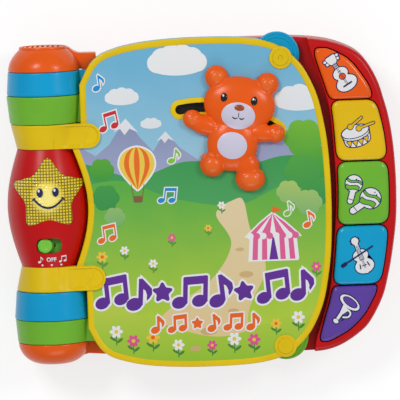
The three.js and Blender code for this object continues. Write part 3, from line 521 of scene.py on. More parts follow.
def steel(name):
    material = plastic(name, tone(190, 194, 198), 0.28, grain=1400.0, shift=0.06, coat=0.0)
    material.node_tree.nodes["Principled BSDF"].inputs["Metallic"].default_value = 1.0
    return material


bright_steel = steel("bright_steel")


# Amber lens: painted shade makes it dark in the valleys of its pyramids, a painted highlight makes it yellow on
# their tips, and it is pale over the lamp
def amber_lens():
    material = plastic("amber_lens", tone(244, 178, 36), 0.12, bump=0.03, coat=0.5)
    tree = material.node_tree
    shader = tree.nodes["Principled BSDF"]
    shader.inputs["Transmission Weight"].default_value = 0.12
    shader.inputs["IOR"].default_value = 1.49
    # The crest attribute drives painted shade: dark amber in the pyramid valleys, and bright yellow as a
    # painted highlight on their tips
    relief = tree.nodes.new("ShaderNodeAttribute")
    relief.attribute_name = "crest"
    ramp = tree.nodes.new("ShaderNodeValToRGB")
    ramp.color_ramp.elements[0].position = 0.08
    ramp.color_ramp.elements[0].color = tone(104, 84, 0)
    ramp.color_ramp.elements[1].position = 0.62
    ramp.color_ramp.elements[1].color = tone(252, 228, 52)
    socket_link(tree, relief.outputs["Fac"], ramp.inputs["Fac"])
    place = tree.nodes.new("ShaderNodeTexCoord")
    centre = tree.nodes.new("ShaderNodeVectorMath")
    centre.operation = "DISTANCE"
    centre.inputs[1].default_value = (AXIS_X * MM, 8.5 * MM, 60 * MM)
    socket_link(tree, place.outputs["Object"], centre.inputs[0])
    reach = tree.nodes.new("ShaderNodeMapRange")
    reach.inputs["From Min"].default_value = 0.004
    reach.inputs["From Max"].default_value = 0.013
    reach.inputs["To Min"].default_value = 0.85
    reach.inputs["To Max"].default_value = 0.0
    socket_link(tree, centre.outputs["Value"], reach.inputs["Value"])
    blend = tree.nodes.new("ShaderNodeMix")
    blend.data_type = "RGBA"
    socket_link(tree, reach.outputs["Result"], blend.inputs["Factor"])
    socket_link(tree, ramp.outputs["Color"], blend.inputs[6])
    blend.inputs[7].default_value = tone(255, 242, 150)
    socket_link(tree, blend.outputs[2], shader.inputs["Base Color"])
    socket_link(tree, blend.outputs[2], shader.inputs["Emission Color"])
    shader.inputs["Emission Strength"].default_value = 0.18
    return material


amber = amber_lens()


def fitted(outline, number):
    """The outline as a given number of evenly spaced points, from its rightmost point on."""
    p = np.asarray(outline, float)
    p = np.roll(p, -int(np.argmax(p[:, 0])), 0)
    p = np.vstack([p, p[:1]])
    run = np.concatenate([[0], np.cumsum(np.linalg.norm(np.diff(p, axis=0), axis=1))])
    at = np.linspace(0, run[-1], number + 1)[:-1]
    return np.stack([np.interp(at, run, p[:, k]) for k in range(2)], 1)


def draped(name, layers, material, sharp=32.0, mirrored=False):
    """Closed body through outlines whose points each have their own height: [points, heights].
    A mirrored outline has its top closed by strips between opposite points."""
    number = len(layers[0][0])
    vertices = np.vstack([np.column_stack([p, np.broadcast_to(z, number)]) for p, z in layers])
    i = np.arange(number)
    j = (i + 1) % number
    faces = []
    for k in range(len(layers) - 1):
        near, far = k * number, (k + 1) * number
        faces += np.stack([i + near, j + near, j + far, i + far], 1).tolist()
    last = (len(layers) - 1) * number
    faces.append(i[::-1].tolist())
    if mirrored:
        k = np.arange(number // 2 - 1)
        strips = np.stack([k, k + 1, number - 2 - k, number - 1 - k], 1) + last
        faces += strips.tolist()
    else:
        faces.append((i + last).tolist())
    return new_piece(name, vertices, faces, material, sharp)


# Spine: rings, barrel, caps
def ring_profile(from_y, to_y, near, far, side, edge=0.9, steps=5):
    """Band of a hinge ring: bore, rounded corners, and an outside that runs straight from one radius to the
    other between them.
    """
    y0, y1 = from_y + FIT / 2, to_y - FIT / 2
    angle = np.linspace(0, math.pi / 2, steps + 1)
    first = np.column_stack([near - edge + edge * np.sin(angle), y0 + edge - edge * np.cos(angle)])
    last = np.column_stack([far - edge + edge * np.cos(angle), y1 - edge + edge * np.sin(angle)])
    t = np.linspace(0, 1, 12)[1:-1]
    middle = np.column_stack([near + (far - near) * t, y0 + edge + (y1 - y0 - 2 * edge) * t])
    profile = np.vstack([[(BORE, y0)], first, middle, last, [(BORE, y1)]])
    return profile * (1, side)


def turned_loop(name, profile, material, start=0.0, sweep=TURN, segments=144, sharp=32.0):
    """A closed profile (radius, y) carried round the spine axis, with flat ends if it stops short."""
    p = np.asarray(profile, float)
    whole = abs(sweep - TURN) < 1e-9
    rows = segments if whole else segments + 1
    angle = start + sweep * np.arange(rows) / segments
    x = AXIS_X + p[None, :, 0] * np.cos(angle)[:, None]
    z = AXIS_Z + p[None, :, 0] * np.sin(angle)[:, None]
    y = np.broadcast_to(p[None, :, 1], x.shape)
    cols = len(p)
    a, b = np.meshgrid(np.arange(rows if whole else rows - 1), np.arange(cols), indexing="ij")
    a2, b2 = (a + 1) % rows, (b + 1) % cols
    faces = np.stack([a * cols + b, a * cols + b2, a2 * cols + b2, a2 * cols + b], -1).reshape(-1, 4).tolist()
    if not whole:
        faces.append(list(range(cols)))
        faces.append(list(range((rows - 1) * cols, rows * cols))[::-1])
    return new_piece(name, np.stack([x, y, z], -1).reshape(-1, 3), faces, material, sharp)


def merged(name, pieces, material, sharp=32.0):
    """Several closed shells become one mesh."""
    work = bmesh.new()
    for piece in pieces:
        work.from_mesh(piece.data)
        bpy.data.objects.remove(piece)
    mesh = bpy.data.meshes.new(name)
    work.to_mesh(mesh)
    work.free()
    mesh.materials.append(material)
    for polygon in mesh.polygons:
        polygon.material_index = 0
    whole = bpy.data.objects.new(name, mesh)
    scene.collection.objects.link(whole)
    mesh.shade_smooth()
    mesh.set_sharp_from_angle(angle=math.radians(sharp))
    return whole


def rim_frame(name, outline, zs, pocket, edge=1.0):
    """Plate with a crowned rim: rounded outer edges, and a pocket for a card on each face."""
    z0, z1 = zs
    inner = grown(outline, -RIM)
    quarter = [math.pi / 2 * k / 5 for k in range(6)]
    layers = [(grown(outline, -RIM - 0.02), z0 + pocket), (inner, z0 + 0.35), (grown(outline, -RIM + 0.35), z0)]
    layers += [(grown(outline, -edge * (1 - math.sin(a))), z0 + edge * (1 - math.cos(a))) for a in quarter]
    wide = 1.5 * edge
    layers += [(grown(outline, -wide * (1 - math.cos(a))), z1 - edge * (1 - math.sin(a))) for a in quarter]
    crown_steps = ((2.6, 0.02), (3.3, 0.12), (3.9, 0.3), (4.3, 0.55), (RIM, 0.85), (RIM + 0.02, pocket))
    layers += [(grown(outline, -by), z1 - drop) for by, drop in crown_steps]
    return loft(name, layers, None)


def neck(side, from_y, to_y, zs):
    y0, y1 = sorted((side * (from_y + FIT / 2), side * (to_y - FIT / 2)))
    near, far = AXIS_X + 19.5, leaf_left(zs[0]) + 3
    outline = np.array([(near, y0), (far, y0), (far, y1), (near, y1)])
    return plate("neck", rounded(outline, 0.8, 4), zs[0], zs[1], None, 0.7)


def capsule(from_x, end_x, middle, half, along=34, count=26):
    """Strap outline: two straight edges of many points and a half-round end, anticlockwise."""
    angle = np.linspace(-math.pi / 2, math.pi / 2, count)
    end = np.column_stack([end_x - half + half * np.cos(angle), middle + half * np.sin(angle)])
    run = np.linspace(from_x, end_x - half, along)[:-1]
    low = np.column_stack([run, np.full(along - 1, middle - half)])
    return np.vstack([low, end, low[::-1] + (0, 2 * half)])


STRAP_TOP = COVER_Z[1] + 1.4
STRAP_FROM = AXIS_X + 6
STRAP_HALF = 8.75
STRAP_END = -70
STRAP_MIDDLE = 50.8
COVER_RING = (21.4, 25.0)


def eased(value, low, high):
    """From 0 at low to 1 at high, level at both ends."""
    t = np.clip((value - low) / (high - low), 0, 1)
    return t * t * (3 - 2 * t)


def strap_height(points, side):
    """The higher of the ring's surface and the strap's own level, with a rounded valley where they meet."""
    x, y = points[:, 0], points[:, 1] * side
    near, far = COVER_RING
    from_y, to_y = RINGS["cover"][0] + 1.05, RINGS["cover"][1] - 1.05
    reach = near + (far - near) * np.clip((y - from_y) / (to_y - from_y), 0, 1)
    swell = 0.45 * eased(x, STRAP_FROM, -96) - 0.25
    ring_top = AXIS_Z + np.sqrt(np.maximum(reach**2 - (x - AXIS_X) ** 2, 4)) + swell
    gap = np.abs(ring_top - STRAP_TOP)
    return np.maximum(ring_top, STRAP_TOP) + np.maximum(5 - gap, 0) ** 2 / 20


def strap(side):
    """Outlines of the strap, each drawn in further: a rounded border, then a shallow floor with a rib."""
    middle = side * STRAP_MIDDLE
    steps = [(0, 0.45, 0), (0.13, 0.13, 0), (0.45, 0, 0), (1.35, 0, 0), (1.6, 0.02, 0.3), (1.85, 0.02, 0.8)]
    steps += [(by, 0.02, 1) for by in (2.1, 3.2, 4.3, 5.4, 6.5, 7.6, 8.3, 8.72)]

    def outline(by):
        return capsule(STRAP_FROM + by * 0.3, STRAP_END - by, middle, STRAP_HALF - by)

    layers = [(outline(0), COVER_Z[1] - 2.5)]
    for by, drop, sunk in steps:
        line = outline(by)
        floor = 1.15 * sunk * eased(line[:, 0], -98, -91)
        slant = np.abs(line[:, 0] + 81.0 - 0.36 * (line[:, 1] - middle))
        rib = 0.7 * sunk * np.clip(1.5 - slant, 0, 1)
        layers.append((line, strap_height(line, side) - drop - floor + rib))
    return [draped("strap", layers, None, mirrored=True)]


def ring(side, band, near, far):
    return turned_loop("ring", ring_profile(*RINGS[band], near, far, side), None)


cover_outline = leaf_outline(COVER_Z[0], 1.2)
leaf_pocket = 1.3
slot_line = arc_strip(24, 7)
slot_border = arc_strip(24, 7 + 6.8)
cover_plate = rim_frame("cover_plate", cover_outline, COVER_Z, leaf_pocket)
border_layers = [(grown(slot_border, 0.5), COVER_Z[1] - leaf_pocket - 0.5), (slot_border, COVER_Z[1] - 0.4)]
border_layers += [(grown(slot_border, -0.12), COVER_Z[1] - 0.12), (grown(slot_border, -0.4), COVER_Z[1])]
cover_plate = unite(cover_plate, [loft("border", border_layers, None)])
cover_plate = carve(cover_plate, [
    plate("slot", slot_line, COVER_Z[0] - 2, COVER_Z[1] + 3, None),
    plate("slide", arc_strip(25, 12), COVER_Z[0] - 1, COVER_Z[0] + leaf_pocket + 1.6, None),
])


def boss(x, y, cross):
    """Round boss with a stepped, rounded top."""
    low, top = COVER_Z[1] - 2, COVER_Z[1] + 0.4
    c = circle(x, y, 8, 72)
    layers = [(c, low), (c, top - 0.4), (grown(c, -0.12), top - 0.12), (grown(c, -0.4), top)]
    layers += [(grown(c, -2.3), top + 0.05), (grown(c, -2.45), top + 0.6), (grown(c, -2.8), top + 0.9)]
    if cross:
        layers += [(grown(c, -6.2), top + 0.9), (grown(c, -6.4), top + 0.1)]
    return loft("boss", layers, None)


cover_shells = [cover_plate, boss(59.3, 101.5, True), boss(56.3, -104.3, False)]
for side in (1, -1):
    cover_shells += [ring(side, "cover", *COVER_RING), neck(side, *RINGS["cover"], COVER_Z)] + strap(side)
cover_frame = merged("cover_body", cover_shells, yellow)
show(cover_frame, "cover", ["cover_frame"])


TAB_X = 57
TAB_RADIUS = 16


def leaf(name, zs, bands, tab_y, material):
    """One leaf: its frame with two pockets, its tab with two ridges, and its rings and their necks."""
    outline = leaf_outline(zs[0], 1.4)
    shells = [rim_frame("leaf", outline, zs, leaf_pocket)]
    shells.append(plate("tab", circle(TAB_X, tab_y, TAB_RADIUS, 120), zs[0], zs[1], None, 0.9, 5))
    for side, band, near, far in bands:
        shells += [ring(side, band, near, far), neck(side, *RINGS[band], zs)]
    pocketed = carve(unite(shells[0], [shells[1]]), [
        plate("front", grown(outline, -RIM), zs[1] - leaf_pocket, zs[1] + 1, None),
        plate("back", grown(outline, -RIM), zs[0] - 1, zs[0] + leaf_pocket, None),
    ])
    ridges = []
    for reach in (15.0, 12.6):
        steps = ((0, -0.5), (0, 0.2), (0.3, 0.4), (0.8, 0.3), (1.5, -0.1))
        ridges.append(loft("ridge", [
            (circle(TAB_X, tab_y, reach - by, 120), zs[1] + rise) for by, rise in steps], None))
    ridges = [carve(ridge, [plate("inside", outline, zs[0] - 1, zs[1] + 2, None)]) for ridge in ridges]
    body = merged(f"{name}_body", [pocketed] + shells[2:] + ridges, material)
    return show(body, name, [f"{name}_frame"])


MIDDLE_RING = ("middle", 25.6, 27.3)
OUTER_RING = ("outer", 26.9, 25.8)
leaf("green_leaf", GREEN_Z, [(1, *MIDDLE_RING), (-1, *OUTER_RING)], -99, green)
leaf("blue_leaf", BLUE_Z, [(1, *OUTER_RING), (-1, *MIDDLE_RING)], 103.3, blue)


def barrel_profile(grow, skin, half=BARREL_HALF - FIT / 2):
    """Closed section of the barrel wall: bulged outside, end walls down to the bore, hollow inside."""
    y = np.linspace(-half, half, 49)
    room = np.linspace(BARREL_HALF - 3, -BARREL_HALF + 3, 41)
    outside = np.column_stack([barrel_radius(y) + grow - 0.03, y])
    inside = np.column_stack([barrel_radius(room) - skin, room])
    top = [(BORE, half), (BORE, BARREL_HALF - 3)]
    low = [(BORE, -BARREL_HALF + 3), (BORE, -half)]
    return np.vstack([outside, top, inside, low])


SLOT = (AXIS_X, -25.9)
SLOT_SIZE = (18.2, 11, 5.2)
SEAM = 0.006


def slot_outline(length, width, corner=3.0):
    x, y = SLOT
    hx, hy = length / 2, width / 2
    corners = [(x - hx, y - hy), (x + hx, y - hy), (x + hx, y + hy), (x - hx, y + hy)]
    return rounded(np.array(corners), min(corner, hy), 8)


barrel_front = turned_loop("barrel_shell", barrel_profile(0, 2), red, SEAM, math.pi - 2 * SEAM, 120)
barrel_front = carve(barrel_front, [
    plate("star_hole", star_outline(0.5), 34, 70, None),
    plate("switch_hole", slot_outline(*SLOT_SIZE), 45, 70, None),
])
outer_wall = fitted(even(slot_outline(21, 13.8, 6.6), 0.8), 96)
inner_wall = fitted(even(slot_outline(*SLOT_SIZE), 0.8), 96)
cup = draped("switch_cup", [
    (outer_wall, 49.6), (outer_wall, barrel_z(*outer_wall.T, -1)), (inner_wall, barrel_z(*inner_wall.T, -1)),
    (inner_wall, 51.0),
], red)
guide_corners = np.array([(-115.5, -27.6), (-102.7, -27.6), (-102.7, -24.2), (-115.5, -24.2)])
cup = carve(cup, [plate("guide", rounded(guide_corners, 1.6, 6), 45, 55, None)])
barrel_front = merged("barrel_front_body", [barrel_front, cup], red)
show(barrel_front, "housing", ["barrel_front"])


# Star lens: a disc of points between its middle and its outline, moulded into small pyramids
def star_lens():
    """Height is the barrel's surface, raised a little, plus a grid of four-sided pyramids."""
    edge = even(star_outline(0.3), 0.34)
    centre = np.array(STAR_MIDDLE)
    share = np.concatenate([np.linspace(0.02, 0.93, 78), np.linspace(0.94, 1.0, 8)])
    grid = centre + (edge - centre)[None] * share[:, None, None]
    x, y = grid[..., 0], grid[..., 1]
    fx = np.abs((x / PYRAMID) % 1 - 0.5) * 2
    fy = np.abs((y / PYRAMID) % 1 - 0.5) * 2
    crest = 1 - np.maximum(fx, fy)
    spread = np.clip(np.hypot(x - AXIS_X, (y - 9.5) * 1.1) / 9.5 - 0.35, 0, 1)
    inside = np.clip((0.985 - share) / 0.02, 0, 1)[:, None] * (0.25 + 0.75 * spread)
    drop = np.where(share > 0.97, (share - 0.97) / 0.03, 0)[:, None] ** 2 * 0.25
    top = barrel_z(x, y, 0.1) + 0.8 * crest * inside + 0.3 * (1 - inside) - drop
    rows, cols = x.shape
    skirt = np.column_stack([edge, barrel_z(edge[:, 0], edge[:, 1], -3.2)])
    vertices = np.vstack([np.stack([x, y, top], -1).reshape(-1, 3), skirt,
                          [(centre[0], centre[1], top[0].mean()), (centre[0], centre[1], 54.0)]])
    a, b = np.meshgrid(np.arange(rows), np.arange(cols), indexing="ij")
    b2 = (b + 1) % cols
    near, far = a * cols, (a + 1) * cols
    faces = np.stack([near + b, far + b, far + b2, near + b2], -1).reshape(-1, 4).tolist()
    i = np.arange(cols)
    j = (i + 1) % cols
    faces += np.stack([np.full(cols, (rows + 1) * cols), i, j], 1).tolist()
    under = rows * cols
    faces += np.stack([np.full(cols, (rows + 1) * cols + 1), under + j, under + i], 1).tolist()
    piece = new_piece("star_lens", vertices, faces, amber, 18.0)
    # Per point, the share of the lens's painted shade in the valleys and painted highlight on the tips, fading
    # out towards the lamp's middle
    place = np.empty(len(piece.data.vertices) * 3)
    piece.data.vertices.foreach_get("co", place)
    px, py = place.reshape(-1, 3)[:, 0] / MM, place.reshape(-1, 3)[:, 1] / MM
    crest = 1 - np.maximum(np.abs((px / PYRAMID) % 1 - 0.5), np.abs((py / PYRAMID) % 1 - 0.5)) * 2
    spread = np.clip(np.hypot(px - AXIS_X, (py - 9.5) * 1.1) / 9.5 - 0.35, 0, 1)
    tint = piece.data.attributes.new("crest", "FLOAT", "POINT")
    tint.data.foreach_set("value", crest * spread + 1 - spread)
    return piece


star = star_lens()
show(star, "star_button", ["star_button"])


def on_barrel(name, outlines, lift, thick, material, body):
    """Flat outlines laid on the barrel: each becomes a thin body between two lifted surfaces."""
    shells = []
    for outline in outlines:
        p = even(outline, 0.5)
        centre = p.mean(0)
        rings = [centre + (p - centre) * s for s in (0.02, 0.35, 0.7, 1.0)]
        layers = [(q, barrel_z(*q.T, lift)) for q in rings]
        layers += [(q, barrel_z(*q.T, lift + thick)) for q in rings[::-1]]
        shells.append(draped("mark", layers, None))
    return show(merged(name, shells, material), body)


def band_line(points, width):
    """Ribbon of even width along a line of points, with rounded ends."""
    p = np.asarray(points, float)
    step = np.gradient(p, axis=0)
    step /= np.linalg.norm(step, axis=1, keepdims=True)
    normal = np.column_stack([-step[:, 1], step[:, 0]]) * width / 2
    cap = np.linspace(0, math.pi, 8)[1:-1]

    def end(centre, direction):
        a = math.atan2(direction[1], direction[0]) - math.pi / 2 + cap
        return centre + width / 2 * np.column_stack([np.cos(a), np.sin(a)])

    return np.vstack([p - normal, end(p[-1], step[-1]), (p + normal)[::-1], end(p[0], -step[0])])


on_barrel("star_eyes", [oval(-114.2, 12.4, 2.3, 3.2), oval(-103.0, 12.6, 2.3, 3.2)], 0.35, 1.0,
          navy_ink, "star_button")
on_barrel("star_eye_glints", [oval(-114.9, 13.8, 0.8, 1.1), oval(-103.7, 14.0, 0.8, 1.1)], 1.3, 0.25,
          white_ink, "star_button")
smile_x = np.linspace(-10.2, 10.2, 44)
smile_line = np.column_stack([AXIS_X + 0.8 + smile_x, 1.6 + 6.2 * (smile_x / 10.2) ** 2])


def barrel_ribbon(name, line, width, lift, thick, material, body):
    """Raised line along the barrel: a flat ribbon whose two long sides follow the surface."""
    p = np.asarray(line, float)
    step = np.gradient(p, axis=0)
    step /= np.linalg.norm(step, axis=1, keepdims=True)
    taper = np.minimum(1, np.minimum(np.arange(len(p)), np.arange(len(p))[::-1]) / 3 + 0.35)[:, None]
    normal = np.column_stack([-step[:, 1], step[:, 0]]) * width / 2 * taper
    outline = np.vstack([p - normal, (p + normal)[::-1]])
    layers = [(outline, barrel_z(*outline.T, lift)), (outline, barrel_z(*outline.T, lift + thick))]
    return show(draped(name, layers, material), body)


barrel_ribbon("star_smile", smile_line, 1.4, 0.3, 0.66, navy_ink, "star_button")
for side, corner in (("left", smile_line[0]), ("right", smile_line[-1])):
    out = -1 if side == "left" else 1
    tick = np.linspace(corner + (out * 1.3, -0.9), corner + (-out * 0.9, 0.9), 8)
    barrel_ribbon(f"star_smile_{side}", tick, 1.3, 0.3, 0.66, navy_ink, "star_button")

# Mode switch: a round knob on a plate that slides in the slot, and its legend
KNOB = (-112.0, -25.9)


def knob_surface():
    """Turned knob: straight side, rounded shoulder, shallow dish with a raised middle."""
    profile = np.array([
        (5.2, 51.3), (5.2, 54.1), (5.05, 54.6), (4.7, 54.9), (4.3, 54.95), (4.2, 55.25),
        (3.9, 55.45), (3.3, 55.5), (2.8, 55.3), (2.2, 55.05), (1.2, 54.95), (0.3, 54.92),
    ])
    layers = [(circle(*KNOB, r, 72), z) for r, z in profile]
    return loft("knob", layers, None)


knob_shells = [knob_surface(), plate("knob_stem", circle(*KNOB, 1.4, 32), 48.8, 52, None)]
show(merged("mode_knob_body", knob_shells, knob_green), "mode_knob", ["mode_knob"])
plate_corners = np.array([(-117.9, -31.1), (-105.9, -31.1), (-105.9, -20.7), (-117.9, -20.7)])
slide_plate = plate("mode_slide_plate", rounded(plate_corners, 4.6, 8), 51.2, 51.45, slide_green, 0.1)
show(slide_plate, "mode_knob")
way_corners = np.array([(-113.9, -27.6), (-104.5, -27.6), (-104.5, -24.2), (-113.9, -24.2)])
slide_bed = carve(plate("slide_bed", slot_outline(18.0, 10.8, 5.0), 51.0, 51.12, slide_green), [
    plate("stem_way", rounded(way_corners, 1.6), 50, 52, None)])
show(slide_bed, "housing")
shutter_corners = np.array([(-113, -28.4), (-102, -28.4), (-102, -23.4), (-113, -23.4)])
show(plate("slide_shutter", shutter_corners, 49.15, 49.4, slide_green), "mode_knob")


def note(x, y, size=1.0, turn=0.0):
    """A quaver: an oval head, a stem and a curved flag."""
    head = oval(-0.9, -1.6, 1.15, 0.85, 20, 24)
    stem = np.array([(-0.1, -1.6), (0.3, -1.6), (0.3, 2.4), (-0.1, 2.4)])
    flag = np.array([
        (0.3, 2.4), (0.3, 1.3), (1.0, 0.8), (1.3, 0.0), (1.25, -0.6), (1.75, 0.2), (1.7, 1.0), (1.0, 1.7)])
    return [placed(shape, x, y, turn, size) for shape in (head, stem, flag)]


def two_notes(x, y, size=1.0, turn=0.0):
    """Two quavers under one beam."""
    heads = [oval(-1.9, -1.7, 1.1, 0.82, 20, 24), oval(1.5, -1.3, 1.1, 0.82, 20, 24)]
    stems = [np.array([(a, b), (a + 0.4, b), (a + 0.4, b + 4), (a, b + 4)])
             for a, b in ((-1.1, -1.7), (2.3, -1.3))]
    beam = np.array([(-1.1, 1.5), (2.7, 1.9), (2.7, 2.9), (-1.1, 2.5)])
    return [placed(shape, x, y, turn, size) for shape in heads + stems + [beam]]


def lettering(text, x, y, height, lift, material, name):
    """Letters made a mesh, then laid on the barrel at a small height above its surface."""
    curve = bpy.data.curves.new("letters", "FONT")
    curve.body = text
    curve.align_x = "CENTER"
    curve.align_y = "CENTER"
    curve.size = height * 1.4
    curve.offset = 0.16
    source = bpy.data.objects.new("letters", curve)
    scene.collection.objects.link(source)
    flat = bpy.data.meshes.new_from_object(source.evaluated_get(bpy.context.evaluated_depsgraph_get()))
    points = np.empty(len(flat.vertices) * 3)
    flat.vertices.foreach_get("co", points)
    points = points.reshape(-1, 3)
    px, py = points[:, 0] + x, points[:, 1] + y
    faces = [tuple(polygon.vertices) for polygon in flat.polygons]
    placed_points = np.column_stack([px, py, barrel_z(px, py, lift)])
    bpy.data.objects.remove(source)
    piece = new_piece(name, placed_points, faces, material)
    thick = piece.modifiers.new("thickness", "SOLIDIFY")
    thick.thickness = 0.0001
    thick.offset = 0
    return piece


show(lettering("OFF", -107.9, -36.2, 2.9, 0.2, white_ink, "switch_legend_off"), "housing")
on_barrel("switch_legend_notes", note(-115.6, -36.2, 1.0) + two_notes(-99.9, -36.0, 0.95), 0.02, 0.15,
          white_ink, "housing")
on_barrel("switch_dots", [circle(x, -40.1, 0.75, 24) for x in (-114.6, -107.9, -101.2)], 0.02, 0.15,
          white_ink, "housing")


# End caps
def cap_profile(outside, length, end_radius, side):
    """Outside of a cap from its skirt to its end, then the hollow inside it; (radius, y) all round."""
    y0, floor = CAP_Y + FIT / 2, CAP_Y + length - 2
    skirt = [(24.9, y0), (25.25, y0 + 0.15), (25.4, y0 + 0.6)]
    inside = [(0, floor), (end_radius - 2, floor), (18.6, min(floor - 3, 109)), (18.6, 104.5),
              (21.8, y0 + 2.3), (21.8, y0)]
    return np.vstack([skirt, outside, inside]) * (1, side)


def grille_cap():
    """Radius shrinks with the square of the height, up to a raised ring round a shallow dome."""
    height = np.linspace(0.8, 15.4, 26)
    side = np.column_stack([25.4 - 8.3 * (height / 15.4) ** 2.1, CAP_Y + height])
    bead = [(17.2, 15.9), (17.15, 16.6), (16.8, 17.2), (16.3, 17.35), (15.8, 17.2), (15.5, 16.8)]
    across = np.linspace(15.0, 0, 12)
    face = np.column_stack([across, CAP_Y + 16.75 + 0.85 * (1 - (across / 15) ** 2)])
    return cap_profile(np.vstack([side, np.array(bead) + (0, CAP_Y), face]), 17.7, 16.5, 1)


def round_cap():
    """Quarter ellipse from the full radius down to a small flat end."""
    angle = np.linspace(0.05, math.pi / 2, 34)
    curve = np.column_stack([8.5 + 16.9 * np.cos(angle), CAP_Y + 16 * np.sin(angle)])
    return cap_profile(np.vstack([curve, [(7, CAP_Y + 16), (0, CAP_Y + 16)]]), 16, 8.5, -1)


def lug(side, grow=0.0):
    """Arm of the cap: straight along its ring, with a flare where it leaves the dome."""
    line = np.array([
        (-93.1, 97.2), (-81.6, 97.2), (-81.4, 95.4), (-72, 95.4), (-72, 108.4),
        (-84.5, 108.6), (-88.2, 110.2), (-91.0, 112.6), (-93.1, 113.2),
    ])
    if side < 0:
        line[5:] = [(-84.5, 107.4), (-87.6, 108.2), (-90.6, 109.8), (-93.1, 110.6)]
        line = (line * (1, -1))[::-1]
    line = even(rounded(line, 0.9, 4), 0.7)
    edge = 0.0 if grow else 0.8
    return plate("lug", grown(line, grow), 14 - grow, 28.5 + grow, None, edge)


top_cap = turned_loop("top_cap", grille_cap(), orange)
cuts = []
for i in range(7):
    x = AXIS_X + (i - 3) * 3.6
    reach = 9 if abs(i - 3) < 3 else 7
    long_slot = np.array([(x - 0.8, 100.0), (x + 0.8, 100.0), (x + 0.8, 120.0), (x - 0.8, 120.0)])
    cuts.append(plate("grille_slot", long_slot, AXIS_Z - reach, AXIS_Z + reach, None))
for tool in cuts:
    values = np.array([v.co for v in tool.data.vertices])
    values[values[:, 1] < 0.11, 1] = (CAP_Y + 17.7 - 4) * MM
    tool.data.vertices.foreach_set("co", values.ravel())
top_cap = carve(top_cap, cuts)
show(merged("top_cap_body", [top_cap, lug(1)], orange), "housing", ["top_end_cap"])
bottom_cap = turned_loop("bottom_cap", round_cap(), orange)
show(merged("bottom_cap_body", [bottom_cap, lug(-1)], orange), "housing", ["bottom_end_cap"])


# Housing shells
def shell(name, outline, z0, z1, edge, at_top, steps=8):
    """Flat-sided body with one rounded shoulder, at its top or at its bottom."""
    angles = [math.pi / 2 * k / steps for k in range(steps + 1)]
    if at_top:
        layers = [(outline, z0)]
        layers += [(grown(outline, -edge * (1 - math.cos(a))), z1 - edge * (1 - math.sin(a))) for a in angles]
    else:
        layers = [(grown(outline, -edge * (1 - math.sin(a))), z0 + edge * (1 - math.cos(a))) for a in angles]
        layers.append((outline, z1))
    return loft(name, layers, None)


def solid_barrel(grow, start=0.0, sweep=TURN):
    y = np.linspace(-BARREL_HALF + FIT / 2, BARREL_HALF - FIT / 2, 33)
    profile = np.vstack([np.column_stack([barrel_radius(y) + grow, y]), [(0, y[-1]), (0, y[0])]])
    return turned_loop("barrel_tool", profile, None, start, sweep, 96)


key_names = list(key_colours)
key_lines = {name: key_outline(KEY_DIVIDES[i + 1] + KEY_GAP / 2, KEY_DIVIDES[i] - KEY_GAP / 2)
             for i, name in enumerate(key_names)}
channel = [(x - WINDOW_GAP - 1, y) for x, y in KEY_LEFT]
well_line = np.vstack([smooth([(76, -130)] + channel + [(78, 135)], 90), [(-140, 135), (-140, -130)]])
inner_line = grown(housing_outline, -2.4)

front = shell("front", housing_outline, SPLIT + FIT / 2, BEZEL_TOP, 4, True)
room = carve(plate("room", inner_line, 12, BEZEL_TOP - 2, None, 1.2), [
    plate("well_inside", grown(well_line, 1), PLATFORM_TOP - 2, 60, None)])
well = loft("well", [
    (well_line, PLATFORM_TOP), (well_line, BEZEL_TOP - 0.6), (grown(well_line, 0.12), BEZEL_TOP - 0.3),
    (grown(well_line, 0.3), BEZEL_TOP - 0.12), (grown(well_line, 0.6), BEZEL_TOP),
    (grown(well_line, 0.6), 60)], None)
front = carve(front, [well, room])
front = carve(front, [plate("window", grown(line, WINDOW_GAP), KEY_LOW - 2.5, BEZEL_TOP + 2, None)
                      for line in key_lines.values()])
page_line = leaf_outline(PLATFORM_TOP, 2)
front = carve(front, [
    solid_barrel(FIT), lug(1, FIT), lug(-1, FIT),
    plate("page", grown(page_line, -RIM), PLATFORM_TOP - 1, PLATFORM_TOP + 1, None)])
front.name = "front_housing_body"
front.data.materials.clear()
front.data.materials.append(red)
show(front, "housing", ["front_housing"])

SCREWS = [(-62, 78), (-62, -78), (66, 92), (66, -92)]
tray = carve(shell("tray", housing_outline, 0, SPLIT - FIT / 2, 4, False), [
    plate("tray_room", inner_line, 2, 30, None, low_edge=1.2)])
tray = unite(tray, [
    box_piece("bay", 15.5, 54.5, -31, 31, 0.5, 20.2, None, 1.0),
    box_piece("door_boss", 30, 40, 29, 38, 1, 14),
] + [plate("screw_boss", circle(x, y, 5, 40), 1, SPLIT - FIT / 2, None) for x, y in SCREWS])
cradle = turned_loop("cradle", barrel_profile(0, 2), None, math.pi + SEAM, math.pi - 2 * SEAM, 120)
link = carve(unite(box_piece("link", AXIS_X + 16, -80.8, -32, 32, 5, 28.2, None, 1.2),
                   [box_piece("foot", AXIS_X + 17, -79.5, -32, 32, 5, 17.8)]),
             [solid_barrel(-1.0)])
tray = carve(tray, [box_piece("bay_room", 17.5, 52.5, -29, 29, -1, 18.2),
                    box_piece("door_rebate", 29.7, 40.3, 28, 37, -1, 2.6), lug(1, FIT), lug(-1, FIT)]
             + [plate("screw_well", circle(x, y, 3.5, 40), -1, 8, None) for x, y in SCREWS])
rear = merged("rear_housing_body", [tray, cradle, link], red)
show(rear, "housing", ["rear_housing"])


